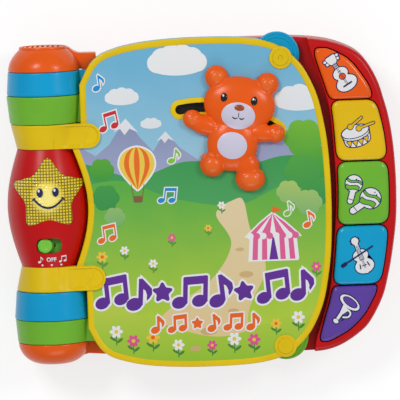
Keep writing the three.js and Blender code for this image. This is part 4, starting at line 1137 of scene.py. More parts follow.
# Keys: a rounded band with a soft crown
def key_cap(name, outline, material):
    """Layers drawn in step by step along a quarter ellipse, each evened out against its own neighbours."""
    middle = (outline.max(0) + outline.min(0)) / 2
    line = even(outline, 1.0)
    layers = [(grown(line, -0.3), KEY_LOW), (line, KEY_LOW + 1), (line, KEY_TOP - 2.4)]
    angles = np.linspace(0, math.pi / 2, 15)
    inset = 3.4 * (1 - np.cos(angles))
    for step, angle in zip(np.diff(inset), angles[1:]):
        line = grown(line, -step)
        line = (np.roll(line, 1, 0) + 6 * line + np.roll(line, -1, 0)) / 8
        layers.append((line, KEY_TOP - 0.1 - 2.3 * (1 - math.sin(angle))))
    layers.append((line + (middle - line) * 0.3, KEY_TOP - 0.03))
    layers.append((line + (middle - line) * 0.7, KEY_TOP))
    cap = loft("cap", layers, None, 50)
    stem = plate("stem", circle(*middle, 3, 24), 30.9, 38, None)
    body = merged(f"{name}_cap", [cap, stem], material, 50)
    return show(body, name, [name])


for name, line in key_lines.items():
    key_cap(name, line, key_colours[name])


PICTURE_RISE = 2.3


def pictogram(name, white, tinted, lines, x, y, turn, rim=0.75):
    """Layers above the key: dark rims, white shapes, rims and shapes in the key's colour, dark lines."""
    def here(shape, step=0.5):
        return placed(even(shape, step), x, y + PICTURE_RISE, turn)

    low = KEY_TOP - 0.3
    rims = [(grown(here(shape), rim), low, KEY_TOP + 0.05 + 0.004 * i) for i, shape in enumerate(white)]
    fills = [(here(shape), low, KEY_TOP + 0.13 + 0.006 * i) for i, shape in enumerate(white)]
    rims += [(grown(here(shape), 0.55), low, KEY_TOP + 0.21 + 0.004 * i) for i, shape in enumerate(tinted)]
    rims += [(here(shape, 0.35), low, KEY_TOP + 0.32 + 0.004 * i) for i, shape in enumerate(lines)]
    show(stack(f"{name}_lines", rims, navy_ink), f"key_{name}")
    show(stack(f"{name}_fill", fills, white_ink), f"key_{name}")
    if tinted:
        shades = [(here(shape), low, KEY_TOP + 0.26 + 0.004 * i) for i, shape in enumerate(tinted)]
        show(stack(f"{name}_tint", shades, key_colours[f"key_{name}"]), f"key_{name}")


def bar(x0, y0, x1, y1, width):
    return band_line(np.linspace((x0, y0), (x1, y1), 6), width)


def waisted(low, high, length, count=60):
    """Two ellipses along the length, joined by the fourth root of the sum of their fourth powers."""
    t = np.linspace(0, 1, count)
    lower = low * np.sqrt(np.clip(1 - ((t - 0.3) / 0.3) ** 2, 0, 1))
    upper = high * np.sqrt(np.clip(1 - ((t - 0.76) / 0.24) ** 2, 0, 1))
    width = (lower**4 + upper**4) ** 0.25
    y = (t - 0.5) * length
    return np.vstack([np.column_stack([width, y]), np.column_stack([-width, y])[::-1][1:-1]])


def wave_band(radius, level, half, turn, centre):
    """Band that waves across a disc, between two sine lines."""
    reach = math.sqrt(max(radius**2 - (abs(level) + half * 0.6) ** 2, 1.0)) * 0.96
    x = np.linspace(-reach, reach, 26)
    y = level + radius * 0.16 * np.sin(x / radius * math.pi)
    shape = np.vstack([np.column_stack([x, y - half]), np.column_stack([x, y + half])[::-1]])
    return placed(shape, *centre, turn)


pictogram("guitar", [
    placed(waisted(7.6, 5.4, 17.6), 0, -4.6), bar(0, 3, 0, 9, 2.4),
    rounded(np.array([(-2.6, 8.2), (2.6, 8.2), (4.1, 14.4), (-4.1, 14.4)]), 1.8),
    circle(4.4, 10.2, 1.0, 20), circle(5.0, 12.6, 1.0, 20),
    circle(-4.4, 10.2, 1.0, 20), circle(-5.0, 12.6, 1.0, 20),
], [circle(0, -2.4, 2.0, 28)], [
    bar(-3.2, -9.2, 3.2, -9.2, 1.1), bar(-0.5, -8.6, -0.5, 8.6, 0.28), bar(0.5, -8.6, 0.5, 8.6, 0.28),
    bar(-1.1, 4.6, 1.1, 4.6, 0.4), bar(-1.1, 6.2, 1.1, 6.2, 0.4), bar(-1.1, 7.8, 1.1, 7.8, 0.4),
    bar(-1.1, 1.6, 1.1, 1.6, 0.4),
], 101.6, 86.2, 32)

arc = np.linspace(math.pi, TURN, 30)
drum_bottom = np.column_stack([9.0 * np.cos(arc), -3.4 + 4.0 * np.sin(arc)])
drum_side = np.vstack([drum_bottom, [(9.8, 3.1), (-9.8, 3.1)]])
drum_lines = [(9.8, 3.1, 4.3), (9.7, 1.2, 4.2)]
band_y = 1.0 - 4.2 * np.sqrt(1 - (np.array([-6.4, -2.2, 2.2, 6.4]) / 10) ** 2)
triangles = [np.array([(x, y - 3.6), (x + 1.7, y - 0.2), (x - 1.7, y - 0.2)])
             for x, y in zip((-6.2, -2.1, 2.1, 6.2), band_y)]
drum_turn = 15
pictogram("drum", [
    placed(drum_side, 0, 0, drum_turn), placed(oval(0, 3.1, 9.9, 4.5), 0, 0, drum_turn),
], [placed(t, 0, 0, drum_turn) for t in triangles] + [
    bar(-4.2, 6.6, 3.9, 13.2, 1.3), circle(-4.2, 6.6, 1.8, 24),
    bar(1.8, 5.4, 12.4, 9.2, 1.3), circle(1.8, 5.4, 1.8, 24),
], [
    placed(band_line(np.column_stack([rx * np.cos(arc), y + ry * np.sin(arc)]), 0.5), 0, 0, drum_turn)
    for rx, y, ry in drum_lines
], 111.6, 41.3, 0)

first_head, second_head = (108.7, 7.4), (120.2, -3.5)
pictogram("maracas", [
    bar(107.7, 1.8, 105.6, -5.0, 3.6), circle(*first_head, 5.9),
    bar(115.4, -6.8, 107.4, -12.0, 4.2), circle(*second_head, 7.2),
], [
    wave_band(5.9, 1.7, 0.55, -24, first_head), wave_band(5.9, -2.9, 1.2, -24, first_head),
    wave_band(7.2, 1.9, 0.7, -38, second_head), wave_band(7.2, -3.6, 1.6, -38, second_head),
], [
    circle(110.6, 10.4, 0.45, 12), circle(111.8, 9.2, 0.45, 12),
    circle(123.4, 0.6, 0.5, 12), circle(124.6, -1.2, 0.5, 12),
    bar(104.4, -3.2, 107.6, -4.4, 0.4), bar(107.8, -8.9, 110.2, -12.3, 0.4),
], 0, 0, 0)

bow_line = np.array([(-14.4, -2.2), (7.4, 10.4)])
pictogram("violin", [
    bar(0, 6, 0, 14, 2.4), circle(0, 15.6, 2.6, 28), waisted(6.8, 5.4, 17.4), circle(0, -7.0, 2.0, 24),
], [], [
    bar(-3.4, -4.4, -2.8, -1.6, 0.8), bar(3.4, -4.4, 2.8, -1.6, 0.8),
    bar(-1.5, 1.4, -1.2, 8.4, 0.4), bar(1.5, 1.4, 1.2, 8.4, 0.4), bar(-1.5, 1.4, 1.5, 1.4, 0.4),
    bar(-0.45, -5, -0.45, 12, 0.26), bar(0.45, -5, 0.45, 12, 0.26), bar(-1.6, -3.0, 1.6, -3.0, 0.6),
    circle(-3.0, 14.6, 0.7, 16), circle(3.0, 14.6, 0.7, 16),
    circle(-3.0, 16.6, 0.7, 16), circle(3.0, 16.6, 0.7, 16),
    placed(bar(*bow_line[0], *bow_line[1], 1.1), 0, 0, -18),
    placed(bar(-14.6, -2.4, -12.4, -1.1, 2.6), 0, 0, -18),
], 113.4, -48.4, 20)

cone = np.array([(-10.1, -10.9), (-8.5, -12.1), (-5.6, -8.4), (-0.6, -5.4), (-4.6, -1.2), (-7.2, -6.8)])
loop = smooth([(-1.2, -5.4), (0.2, -8.0), (-1.6, -10.4), (-5.2, -10.4)], 24)
pictogram("trumpet", [
    cone, band_line(loop, 1.2), oval(-10.4, -12.9, 2.0, 1.5, -38, 24), oval(0, 0, 8.0, 4.1, -39),
], [oval(0.3, 0.2, 5.6, 2.3, -39)], [], 103.2, -77.7, 0)

# Cover print: a countryside in thin layers of colour, in the space that the card has on the cover
def gradient_card(name, low, high, from_y, to_y):
    return card(name, tone(*low), tone(*high), from_y, to_y)


paper = {
    "sky": gradient_card("sky_print", (176, 220, 238), (116, 190, 226), 0, 112),
    "far": gradient_card("far_hill_print", (168, 178, 214), (140, 150, 188), 20, 70),
    "snow": gradient_card("snow_print", (226, 230, 238), (244, 246, 250), 30, 70),
    "hill": gradient_card("hill_print", (84, 178, 104), (60, 164, 84), -20, 40),
    "wood": gradient_card("wood_print", (26, 146, 84), (96, 186, 60), -20, 60),
    "meadow": gradient_card("meadow_print", (190, 220, 60), (96, 186, 70), -90, 20),
    "lawn": gradient_card("lawn_print", (150, 204, 40), (206, 222, 80), -118, -50),
    "path": gradient_card("path_print", (236, 208, 150), (240, 222, 178), -110, 30),
    "cloud": gradient_card("cloud_print", (232, 240, 246), (250, 252, 253), 40, 110),
    "trunk": gradient_card("trunk_print", (120, 84, 52), (146, 104, 66), -60, 40),
    "purple": gradient_card("purple_print", (88, 36, 146), (104, 44, 160), -94, -44),
    "white": gradient_card("white_print", (246, 246, 246), (252, 252, 252), -110, 110),
    "orange": gradient_card("orange_print", (246, 104, 20), (248, 120, 30), -110, 110),
    "pink": gradient_card("pink_print", (232, 84, 150), (244, 120, 170), -110, 110),
    "yellow": gradient_card("yellow_print", (246, 206, 60), (250, 220, 90), -110, 110),
    "blue": gradient_card("blue_print", (20, 140, 214), (30, 150, 222), -110, 110),
    "red": gradient_card("red_print", (206, 34, 48), (214, 40, 52), -110, 110),
    "bush": gradient_card("bush_print", (70, 176, 120), (196, 218, 110), -30, 30),
    "leafy": gradient_card("leafy_print", (40, 160, 60), (130, 200, 50), 10, 70),
    "lime": gradient_card("lime_print", (120, 200, 50), (140, 210, 70), -110, 110),
    "shade": gradient_card("shade_print", (214, 182, 122), (222, 192, 134), -110, 30),
    "stalk": gradient_card("stalk_print", (64, 132, 48), (96, 160, 60), -118, -40),
}

CARD_LOW = 47.1
MASK_LOW, MASK_TOP = 45.0, 50.0
TOP = {
    "sky": 47.38, "ridge": 47.42, "snow": 47.45, "clouds": 47.46, "far_hill": 47.47, "meadow": 47.5,
    "path": 47.53, "back_bushes": 47.535, "lawn": 47.56, "path_spots": 47.575, "mid_bushes": 47.585,
    "tent_rim": 47.61, "stalks": 47.61, "tent_wall": 47.63, "front_bushes": 47.635,
    "balloon_rim": 47.64, "tent_stripes": 47.645, "balloon": 47.655, "tent_door": 47.655,
    "basket": 47.66, "tent_flag": 47.66, "petals": 47.665, "balloon_outer": 47.67, "tent_roof": 47.67,
    "balloon_middle": 47.685, "tent_panels": 47.685, "music": 47.69, "balloon_inner": 47.7,
    "tent_scallops": 47.7, "tent_edging": 47.72, "hearts_yellow": 47.72, "hearts_orange": 47.72,
}
print_line = grown(cover_outline, -RIM + 0.6)


def sheet(name, outline, top, finish):
    """One field of colour, cut to the print's own outline and clear of the slot."""
    piece = plate(name, outline, CARD_LOW, top, finish)
    mask = plate("mask", print_line, MASK_LOW, MASK_TOP, None)
    piece = combine(piece, [mask], "INTERSECT")
    piece = carve(piece, [plate("slot_mask", slot_line, MASK_LOW, MASK_TOP, None)])
    piece.data.materials.clear()
    piece.data.materials.append(finish)
    return show(piece, "cover")


def ground(line, low=-140):
    p = smooth(line, 120)
    return np.vstack([[(-120, low), (120, low)], p[::-1]])


def jagged(line, low):
    p = np.array(line, float)
    return np.vstack([[(-120, low), (120, low)], p[::-1]])


def peak_cap(x, y, size):
    """Snow on a summit: a point above a jagged lower edge."""
    edge = [(0, 0), (-1, -1.05), (-0.45, -0.8), (-0.1, -1.3), (0.3, -0.8), (0.95, -1.1)]
    return (np.array(edge) * size + (x, y))[::-1]


def puff(x, y, size, lobes=5):
    """Cloud or tree crown: circles of two sizes on a flat oval."""
    out = [oval(x, y, size * 1.5, size * 0.55)]
    for i in range(lobes):
        a = math.pi * (i + 0.5) / lobes
        radius = size * (0.46 + 0.16 * math.sin(a))
        out.append(circle(x + size * 1.05 * math.cos(a), y + size * 0.42 * math.sin(a), radius, 28))
    return out


sky = sheet("print_sky", print_line, TOP["sky"], paper["sky"])
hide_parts("cover_print_sky", "cover_print_mountains", "cover_print_meadow",
            "cover_print_lawn", "cover_print_path")
ridge = [(-100, 30), (-84, 42), (-74, 36), (-64, 44), (-52, 62), (-42, 48), (-33, 38), (-24, 52), (-14, 40),
         (0, 30), (18, 40), (34, 52), (46, 60), (58, 50), (72, 38), (84, 46), (110, 56)]
sheet("print_ridge", jagged(ridge, -20), TOP["ridge"], paper["far"])
for number, cap in enumerate([peak_cap(-52, 62, 9), peak_cap(-24, 52, 6.5)]):
    sheet(f"print_snow_{number}", cap, TOP["snow"], paper["snow"])
liner = plate("slot_liner", arc_strip(24.6, 11.5), 42.95, 43.1, black)
show(liner, "cover")
far_hill = [(-110, 34), (-80, 30), (-46, 20), (-10, 30), (30, 26), (64, 32), (110, 24)]
sheet("print_far_hill", ground(far_hill), TOP["far_hill"], paper["hill"])
meadow = [(-110, 8), (-60, 18), (-20, 4), (25, -2), (60, 12), (110, 26)]
sheet("print_meadow", ground(meadow), TOP["meadow"], paper["meadow"])
path_edge = [(40, -130), (30, -84), (44, -48), (34, -20), (30, 0), (24, 2),
             (10, -8), (20, -30), (4, -56), (-34, -84), (-40, -130)]
sheet("print_path", smooth(path_edge, 160), TOP["path"], paper["path"])
lawn_edge = [(-110, -64), (-70, -70), (-30, -86), (10, -96), (50, -86), (110, -70)]
sheet("print_lawn", ground(lawn_edge), TOP["lawn"], paper["lawn"])
edge_points = even(print_line, 0.4)


def trimmed(outline):
    """Points beyond the print's edge move to the nearest point of that edge; even-odd test along a ray."""
    p = even(outline, 0.7)
    a, b = edge_points, np.roll(edge_points, -1, 0)
    spans = (a[None, :, 1] > p[:, None, 1]) != (b[None, :, 1] > p[:, None, 1])
    rise = np.where(b[:, 1] == a[:, 1], 1e-9, b[:, 1] - a[:, 1])
    at = a[None, :, 0] + (p[:, None, 1] - a[None, :, 1]) * ((b[:, 0] - a[:, 0]) / rise)[None]
    outside = (spans & (p[:, None, 0] < at)).sum(1) % 2 == 0
    nearest = np.linalg.norm(p[:, None] - edge_points[None], axis=2).argmin(1)
    return np.where(outside[:, None], edge_points[nearest], p)


def crowd(name, shapes, top, finish, step=0.008):
    """Many small flat shapes of one colour in one mesh, each a hair above the last."""
    layers = [(shape, CARD_LOW, top + min(step, 0.045 / len(shapes)) * i) for i, shape in enumerate(shapes)]
    return show(stack(name, layers, finish), "cover")


clouds = puff(-14, 99, 14, 6) + puff(-54, 76, 8) + puff(-34, 57, 5, 4) + puff(72, 70, 12, 5)
crowd("print_clouds", [trimmed(shape) for shape in clouds], TOP["clouds"], paper["cloud"])


def crown(x, y, size):
    """Rounded bush: six circles round a seventh."""
    shapes = []
    for k in range(6):
        a = k * TURN / 6
        shapes.append(circle(x + size * 0.55 * math.cos(a), y + size * 0.5 * math.sin(a), size * 0.55, 30))
    return [trimmed(shape) for shape in shapes + [circle(x, y, size * 0.7, 30)]]


back_bushes = crown(74, 44, 13) + crown(82, 26, 12) + crown(-70, 26, 8)
crowd("print_back_bushes", back_bushes, TOP["back_bushes"], paper["leafy"], 0.004)
mid_bushes = crown(72, 20, 12) + crown(82, 6, 10) + crown(-68, 6, 9)
crowd("print_mid_bushes", mid_bushes, TOP["mid_bushes"], paper["wood"], 0.004)
front_bushes = crown(62, 6, 8) + crown(76, -2, 9) + crown(-62, -8, 7)
crowd("print_front_bushes", front_bushes, TOP["front_bushes"], paper["bush"], 0.004)
crowd("print_path_spots", [oval(x, y, r, r * 0.45) for x, y, r in (
    (2, -92, 6), (20, -78, 4), (30, -52, 5), (14, -64, 3), (-8, -104, 4), (26, -34, 3), (-20, -100, 3))],
    TOP["path_spots"], paper["shade"], 0.001)


def rimmed(name, outlines, rim, top, finish):
    """A white rim under each shape, and the shape itself a little higher."""
    crowd(f"{name}_rim", [grown(even(outline, 0.5), rim) for outline in outlines], top, paper["white"], 0.002)
    crowd(f"{name}_fill", outlines, top + 0.06, finish, 0.002)


def little_star(x, y, size, turn=0.0):
    angle = math.pi / 2 + np.arange(10) * math.pi / 5
    radius = np.where(np.arange(10) % 2, 1.15, 2.4)
    corners = np.column_stack([radius * np.cos(angle), radius * np.sin(angle)])
    return [placed(rounded(corners, 0.5, 4), x, y, turn, size)]


def bold(outlines, by):
    return [grown(even(outline, 0.5), by) for outline in outlines]


big_row = two_notes(-66, -62, 4.0, 4) + note(-46, -64, 4.4, -4) + little_star(-30, -63, 3.0)
big_row += two_notes(-10, -64, 4.2, -3) + note(12, -63, 4.4, 5) + little_star(28, -64, 3.0, 8)
big_row += two_notes(49, -62, 4.0, 4) + note(70, -61, 4.2)
rimmed("print_big_row", bold(big_row, 0.8), 1.4, TOP["music"], paper["purple"])
small_row = note(-34, -86, 2.4) + two_notes(-20, -86, 2.3) + little_star(-6, -86, 1.7) + note(6, -86, 2.4, 4)
small_row += two_notes(20, -86, 2.3, -4) + note(34, -86, 2.4)
rimmed("print_small_row", bold(small_row, 0.45), 1.0, TOP["music"], paper["orange"])

# Striped balloon at the left, and a striped tent at the right
balloon = (-45, 26)
half_envelope = [(0, -15), (-5, -10), (-11, -2), (-12.5, 5), (-9, 12), (0, 15.5)]
other_half = [(-x, y) for x, y in half_envelope[-2::-1]]
envelope = smooth(half_envelope + other_half, 90)[:-1][::-1]
basket = rounded(np.array([(-3, -24), (3, -24), (3.6, -19.4), (-3.6, -19.4)]), 1)
ropes = [bar(-3.2, -19.5, -4.6, -11, 0.5), bar(3.2, -19.5, 4.6, -11, 0.5)]
balloon_rim = placed(grown(even(envelope, 0.8), 1.2), *balloon)
crowd("print_balloon_rim", [balloon_rim], TOP["balloon_rim"], paper["white"])
crowd("print_balloon", [placed(envelope, *balloon)], TOP["balloon"], paper["yellow"])
gores = [placed(envelope * (share, 1.0), *balloon) for share in (0.72, 0.44, 0.16)]
crowd("print_balloon_outer", [gores[0]], TOP["balloon_outer"], paper["orange"])
crowd("print_balloon_middle", [gores[1]], TOP["balloon_middle"], paper["yellow"])
crowd("print_balloon_inner", [gores[2]], TOP["balloon_inner"], paper["orange"])
basket_parts = [placed(shape, *balloon) for shape in [basket] + ropes]
crowd("print_basket", basket_parts, TOP["basket"], paper["trunk"], 0.004)
tent = (50, -28)


def at_tent(shapes):
    return [placed(shape, *tent) for shape in shapes]


wall = np.array([(-17, -14), (17, -14), (15.5, 4), (-15.5, 4)])
roof = np.array([(-18.5, 3), (18.5, 3), (9, 12), (0, 19), (-9, 12)])
scallops = [circle(-16.2 + 4.6 * i, 3, 2.35, 24) for i in range(8)]
tent_rim = [placed(grown(even(shape, 0.8), 1.1), *tent) for shape in (wall, roof)]
crowd("print_tent_rim", tent_rim, TOP["tent_rim"], paper["white"], 0.002)
crowd("print_tent_wall", [placed(wall, *tent)], TOP["tent_wall"], paper["white"])
stripes = [np.array([(x - 1.9, -14), (x + 1.9, -14), (x * 0.92 + 1.75, 4), (x * 0.92 - 1.75, 4)])
           for x in (-13.4, -6.6, 6.6, 13.4)]
crowd("print_tent_stripes", at_tent(stripes), TOP["tent_stripes"], paper["pink"], 0.002)
door = np.array([(-3.2, -14), (3.2, -14), (0.4, 3), (-0.4, 3)])
crowd("print_tent_door", [placed(door, *tent)], TOP["tent_door"], paper["purple"])
crowd("print_tent_roof", [placed(roof, *tent)], TOP["tent_roof"], paper["pink"])
panels = [np.array([(x - 2.3, 3), (x + 2.3, 3), (0, 19)]) for x in (-11.6, 0, 11.6)]
crowd("print_tent_panels", at_tent(panels), TOP["tent_panels"], paper["white"], 0.002)
crowd("print_tent_scallops", at_tent(scallops[::2]), TOP["tent_scallops"], paper["white"], 0.002)
crowd("print_tent_edging", at_tent(scallops[1::2]), TOP["tent_edging"], paper["pink"], 0.002)
crowd("print_tent_flag", at_tent([[(0, 19), (7, 21.4), (0, 24)]]), TOP["tent_flag"], paper["orange"])


def flower(x, y, size, petals=6):
    """Oval petals round a centre, each turned to point away from it."""
    out = []
    for k in range(petals):
        a = k * TURN / petals
        middle = (x + size * 0.62 * math.cos(a), y + size * 0.62 * math.sin(a))
        out.append(oval(*middle, size * 0.42, size * 0.3, math.degrees(a), 18))
    return out


beds = [(-64, -90, 4.6, "white"), (-52, -97, 4.4, "pink"), (-38, -95, 4.8, "yellow"), (-20, -101, 4.2, "white"),
        (4, -102, 3.6, "pink"), (20, -98, 4.8, "white"), (34, -99, 4.4, "pink"), (66, -84, 4.6, "white"),
        (50, -88, 3.8, "yellow"), (80, -48, 3.6, "pink"), (-72, -36, 4.0, "yellow"), (-56, -32, 3.2, "white"),
        (14, -2, 2.8, "white"),
        (-22, -24, 3.0, "pink"), (-36, -42, 3.2, "white"), (4, -18, 2.6, "yellow")]
stalks = []
for x, y, s, c in beds:
    stalks.append(trimmed(bar(x, y - s * 2.1, x, y, 0.7)))
    stalks.append(trimmed(oval(x + s * 0.5, y - s * 1.4, s * 0.6, s * 0.22, 35, 20)))
    stalks.append(trimmed(oval(x - s * 0.5, y - s * 1.1, s * 0.6, s * 0.22, 145, 20)))
crowd("print_stalks", stalks, TOP["stalks"], paper["stalk"], 0.001)
for shade in ("pink", "yellow", "white"):
    crowd(f"print_petals_{shade}", [shape for x, y, s, c in beds if c == shade for shape in flower(x, y, s)],
          TOP["petals"], paper[shade], 0.001)
hearts = {True: [], False: []}
for x, y, s, c in beds:
    hearts[c == "yellow"].append(circle(x, y, s * 0.3, 20))
crowd("print_hearts_yellow", hearts[False], TOP["hearts_yellow"], paper["yellow"], 0.0005)
crowd("print_hearts_orange", hearts[True], TOP["hearts_orange"], paper["orange"], 0.0005)
rimmed("print_red_notes", two_notes(-64, 60, 2.5, 10), 0.9, TOP["music"], paper["red"])
rimmed("print_lime_notes", note(-18, 34, 2.2, -8) + note(62, -6, 2.0, 6), 0.8, TOP["music"], paper["lime"])
rimmed("print_blue_notes", note(-70, 88, 2.3, 6) + two_notes(-24, 6, 2.2, -8), 0.8, TOP["music"], paper["blue"])
orange_notes = note(76, -14, 2.4, 8) + two_notes(-68, -20, 2.4, 6)
rimmed("print_orange_notes", orange_notes, 0.8, TOP["music"], paper["orange"])


# Inner pages: a plain picture on each, of hills, a sun, clouds, notes and flowers
def page_picture(name, node, body, note_shade, hill_shade, size=1.0, shift=0.0):
    """Thin shapes on the outer face of a page's card; on a back page they are mirrored and face down."""
    low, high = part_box(node)
    front = not node.endswith("back_print")
    level = (high[2] if front else low[2]) / MM

    def lay(label, shapes, rise, finish):
        layers = []
        for i, shape in enumerate(shapes):
            line = even((np.asarray(shape) - (6, 0)) * size + (6, shift), 0.8)
            top = rise + 0.001 * i
            if front:
                layers.append((line, level - 0.1, level + top))
            else:
                layers.append(((line * (-1, 1) + (12, 0))[::-1], level - top, level + 0.1))
        show(stack(f"page_{name}_{label}", layers, finish), body)

    panel = rounded(np.array([(-58, -84), (70, -84), (70, 84), (-58, 84)]), 14, 10)
    foot = [(70, -70), (56, -84), (-44, -84), (-58, -70)]
    hills = np.vstack([smooth([(-58, -4), (-24, 16), (20, -2), (70, 18)], 60), foot])[::-1]
    lawn = np.vstack([smooth([(-58, -36), (0, -20), (70, -44)], 60), foot])[::-1]
    blooms = [(-40, -50, 7), (-12, -62, 6), (24, -56, 7), (52, -66, 6)]
    lay("panel", [panel], 0.03, paper["sky"])
    lay("sun", [circle(42, 54, 11)], 0.05, paper["yellow"])
    lay("clouds", puff(-22, 58, 11) + puff(10, 34, 7, 4), 0.06, paper["cloud"])
    lay("hills", [hills], 0.08, paper[hill_shade])
    lay("lawn", [lawn], 0.1, paper["meadow"])
    tune = bold(two_notes(-34, -4, 5) + note(4, 4, 5.4) + two_notes(40, -6, 5, 8), 0.7)
    lay("notes", tune, 0.12, paper[note_shade])
    lay("petals", [shape for x, y, s in blooms for shape in flower(x, y, s)], 0.13, paper["white"])
    lay("hearts", [circle(x, y, s * 0.3, 20) for x, y, s in blooms], 0.17, paper["orange"])


page_picture("last", "last_page_print", "housing", "red", "hill")
page_picture("blue_front", "blue_leaf_front_print", "blue_leaf", "orange", "leafy")
page_picture("blue_back", "blue_leaf_back_print", "blue_leaf", "purple", "hill")
page_picture("green_front", "green_leaf_front_print", "green_leaf", "blue", "wood")
page_picture("green_back", "green_leaf_back_print", "green_leaf", "pink", "hill")
page_picture("cover_back", "cover_back_print", "cover", "red", "leafy", 0.6, -24)


# Bear: smooth lobes melted into one form, with its own painted details; each lobe is x, y, three radii, turn
BEAR_Z = 48.6
LOBES = [
    (29.2, 69.5, 25.5, 20, 9.0, -9), (13.6, 89.6, 8.4, 8.4, 5.6, 0), (49.4, 83.2, 8.2, 8.2, 5.6, 0),
    (23.4, 42, 18, 20, 8, -12), (3, 56, 12, 7, 5.9, -22), (-4.6, 60.2, 6.8, 6.8, 5.4, 0),
    (44, 48.6, 11, 6.6, 5.9, -10), (54, 48, 6.8, 6.8, 5.4, 0),
    (8.6, 27.6, 9, 9, 6.6, 0), (35.2, 16.4, 10.6, 9, 6.6, 0), (33, 26, 9, 9, 6, 0),
]


def lobe_mesh(name, x, y, z, rx, ry, rz, turn=0.0, columns=64, rows=32):
    """Ellipsoid: latitude and longitude on a grid, scaled in three directions and turned in plan."""
    u = TURN * np.arange(columns) / columns
    v = np.linspace(-math.pi / 2, math.pi / 2, rows + 1)[1:-1]
    px = rx * np.cos(v)[:, None] * np.cos(u)
    py = ry * np.cos(v)[:, None] * np.sin(u)
    pz = np.broadcast_to(rz * np.sin(v)[:, None], px.shape)
    flat = placed(np.column_stack([px.ravel(), py.ravel()]), x, y, turn)
    vertices = np.vstack([np.column_stack([flat, pz.ravel() + z]), [(x, y, z - rz), (x, y, z + rz)]])
    a, b = np.meshgrid(np.arange(rows - 2), np.arange(columns), indexing="ij")
    b2 = (b + 1) % columns
    faces = np.stack([a * columns + b, a * columns + b2, (a + 1) * columns + b2, (a + 1) * columns + b], -1)
    faces = faces.reshape(-1, 4).tolist()
    i = np.arange(columns)
    j = (i + 1) % columns
    low, top = (rows - 1) * columns, (rows - 1) * columns + 1
    faces += np.stack([np.full(columns, low), j, i], 1).tolist()
    faces += np.stack([np.full(columns, top), i + (rows - 2) * columns, j + (rows - 2) * columns], 1).tolist()
    return new_piece(name, vertices, faces, None)


def apply_modifier(piece):
    graph = bpy.context.evaluated_depsgraph_get()
    done = bpy.data.meshes.new_from_object(piece.evaluated_get(graph))
    piece.modifiers.clear()
    piece.data = done
    return piece


bear_form = merged("bear_form", [lobe_mesh("lobe", x, y, BEAR_Z + 0.8, rx, ry, rz, turn)
                                 for x, y, rx, ry, rz, turn in LOBES], orange)
melt = bear_form.modifiers.new("melt", "REMESH")
melt.mode = "VOXEL"
melt.voxel_size = 0.00055
apply_modifier(bear_form)
ease = bear_form.modifiers.new("ease", "SMOOTH")
ease.factor = 0.5
ease.iterations = 14
apply_modifier(bear_form)
bear_form = carve(bear_form, [box_piece("below", -60, 120, -40, 130, 20, BEAR_Z)], 60)
posts = []
for offset in (-8, 8):
    a = math.radians(ARC_MIDDLE + offset)
    middle = (ARC_CENTRE[0] + ARC_RADIUS * math.cos(a), ARC_CENTRE[1] + ARC_RADIUS * math.sin(a))
    posts.append(plate("post", circle(*middle, 2.6, 40), 44.8, BEAR_Z + 3, None))
bear_body = merged("bear_body", [bear_form] + posts, orange, 60)
show(bear_body, "bear", ["bear"])
surface = bear_body.data


def bear_height(points):
    """Height of the bear's surface under each point, found by looking down on its mesh."""
    work = bmesh.new()
    work.from_mesh(surface)
    tree = BVHTree.FromBMesh(work)
    heights = []
    for x, y in points:
        hit = tree.ray_cast(Vector((x * MM, y * MM, 0.2)), Vector((0, 0, -1)))
        heights.append(hit[0].z / MM if hit[0] else BEAR_Z)
    work.free()
    return np.array(heights)


def on_bear(name, outlines, thick, material, crown=0.0):
    """Painted or inlaid spots: a thin body that follows the surface, fuller in its middle by the crown."""
    shells = []
    for outline in outlines:
        p = even(outline, 0.45)
        centre = p.mean(0)
        shares = [0.02, 0.2, 0.4, 0.6, 0.75, 0.88, 0.96, 1.0]
        rings = [centre + (p - centre) * s for s in shares]
        heights = [bear_height(q) for q in rings]
        layers = [(q, h - 0.5) for q, h in zip(rings, heights)]
        tops = [(q, h + thick * math.sqrt(1 - s**4 * 0.96) + crown * (1 - s * s))
                for q, h, s in zip(rings, heights, shares)]
        shells.append(draped("spot", layers + tops[::-1], None))
    return show(merged(name, shells, material, 50), "bear")


LEAN = -9
bear_orange = plastic("bear_paint", tone(255, 112, 34), 0.3, coat=0.15)
on_bear("bear_muzzle", [oval(28.0, 62.0, 12.0, 9.6, LEAN)], 0.3, lilac_paint, 1.1)
on_bear("bear_belly", [oval(23.0, 41.0, 10.6, 9.6, -12)], 0.25, lilac_paint, 0.4)
inner_ears = [oval(14, 89.6, 4.6, 4.6), oval(49.2, 83.2, 4.5, 4.5)]
on_bear("bear_inner_ears", inner_ears, 0.35, bear_orange, 0.5)
soles = [oval(8.4, 27.0, 5.6, 5.6, -10), oval(35.4, 15.8, 6.4, 5.2, -6)]
on_bear("bear_soles", soles, 0.3, bear_orange, 0.4)
palms = [oval(-4.6, 59.4, 3.2, 3.2), oval(54.0, 47.4, 3.2, 3.2)]
on_bear("bear_palms", palms, 0.3, bear_orange, 0.3)
toes = [(2.6, 33.4, 1.6), (7.4, 35.0, 1.6), (12.2, 33.8, 1.6), (-8.6, 63.6, 1.4),
        (-5.2, 65.2, 1.4), (57.0, 52.4, 1.4), (59.2, 48.6, 1.4)]
on_bear("bear_toes", [circle(*toe, 24) for toe in toes], 0.4, bear_orange, 0.4)
eyes = [oval(18.4, 75.4, 2.4, 3.2, LEAN), oval(39.6, 72.0, 2.4, 3.2, LEAN)]
on_bear("bear_eyes", eyes, 0.4, dark_ink, 0.6)
eye_glints = [oval(17.9, 76.8, 0.8, 1.0), oval(39.1, 73.4, 0.8, 1.0)]
on_bear("bear_eye_glints", eye_glints, 1.3, white_ink)
on_bear("bear_nose", [oval(28.9, 67.4, 4.1, 2.7, LEAN)], 1.2, nose_brown, 0.4)
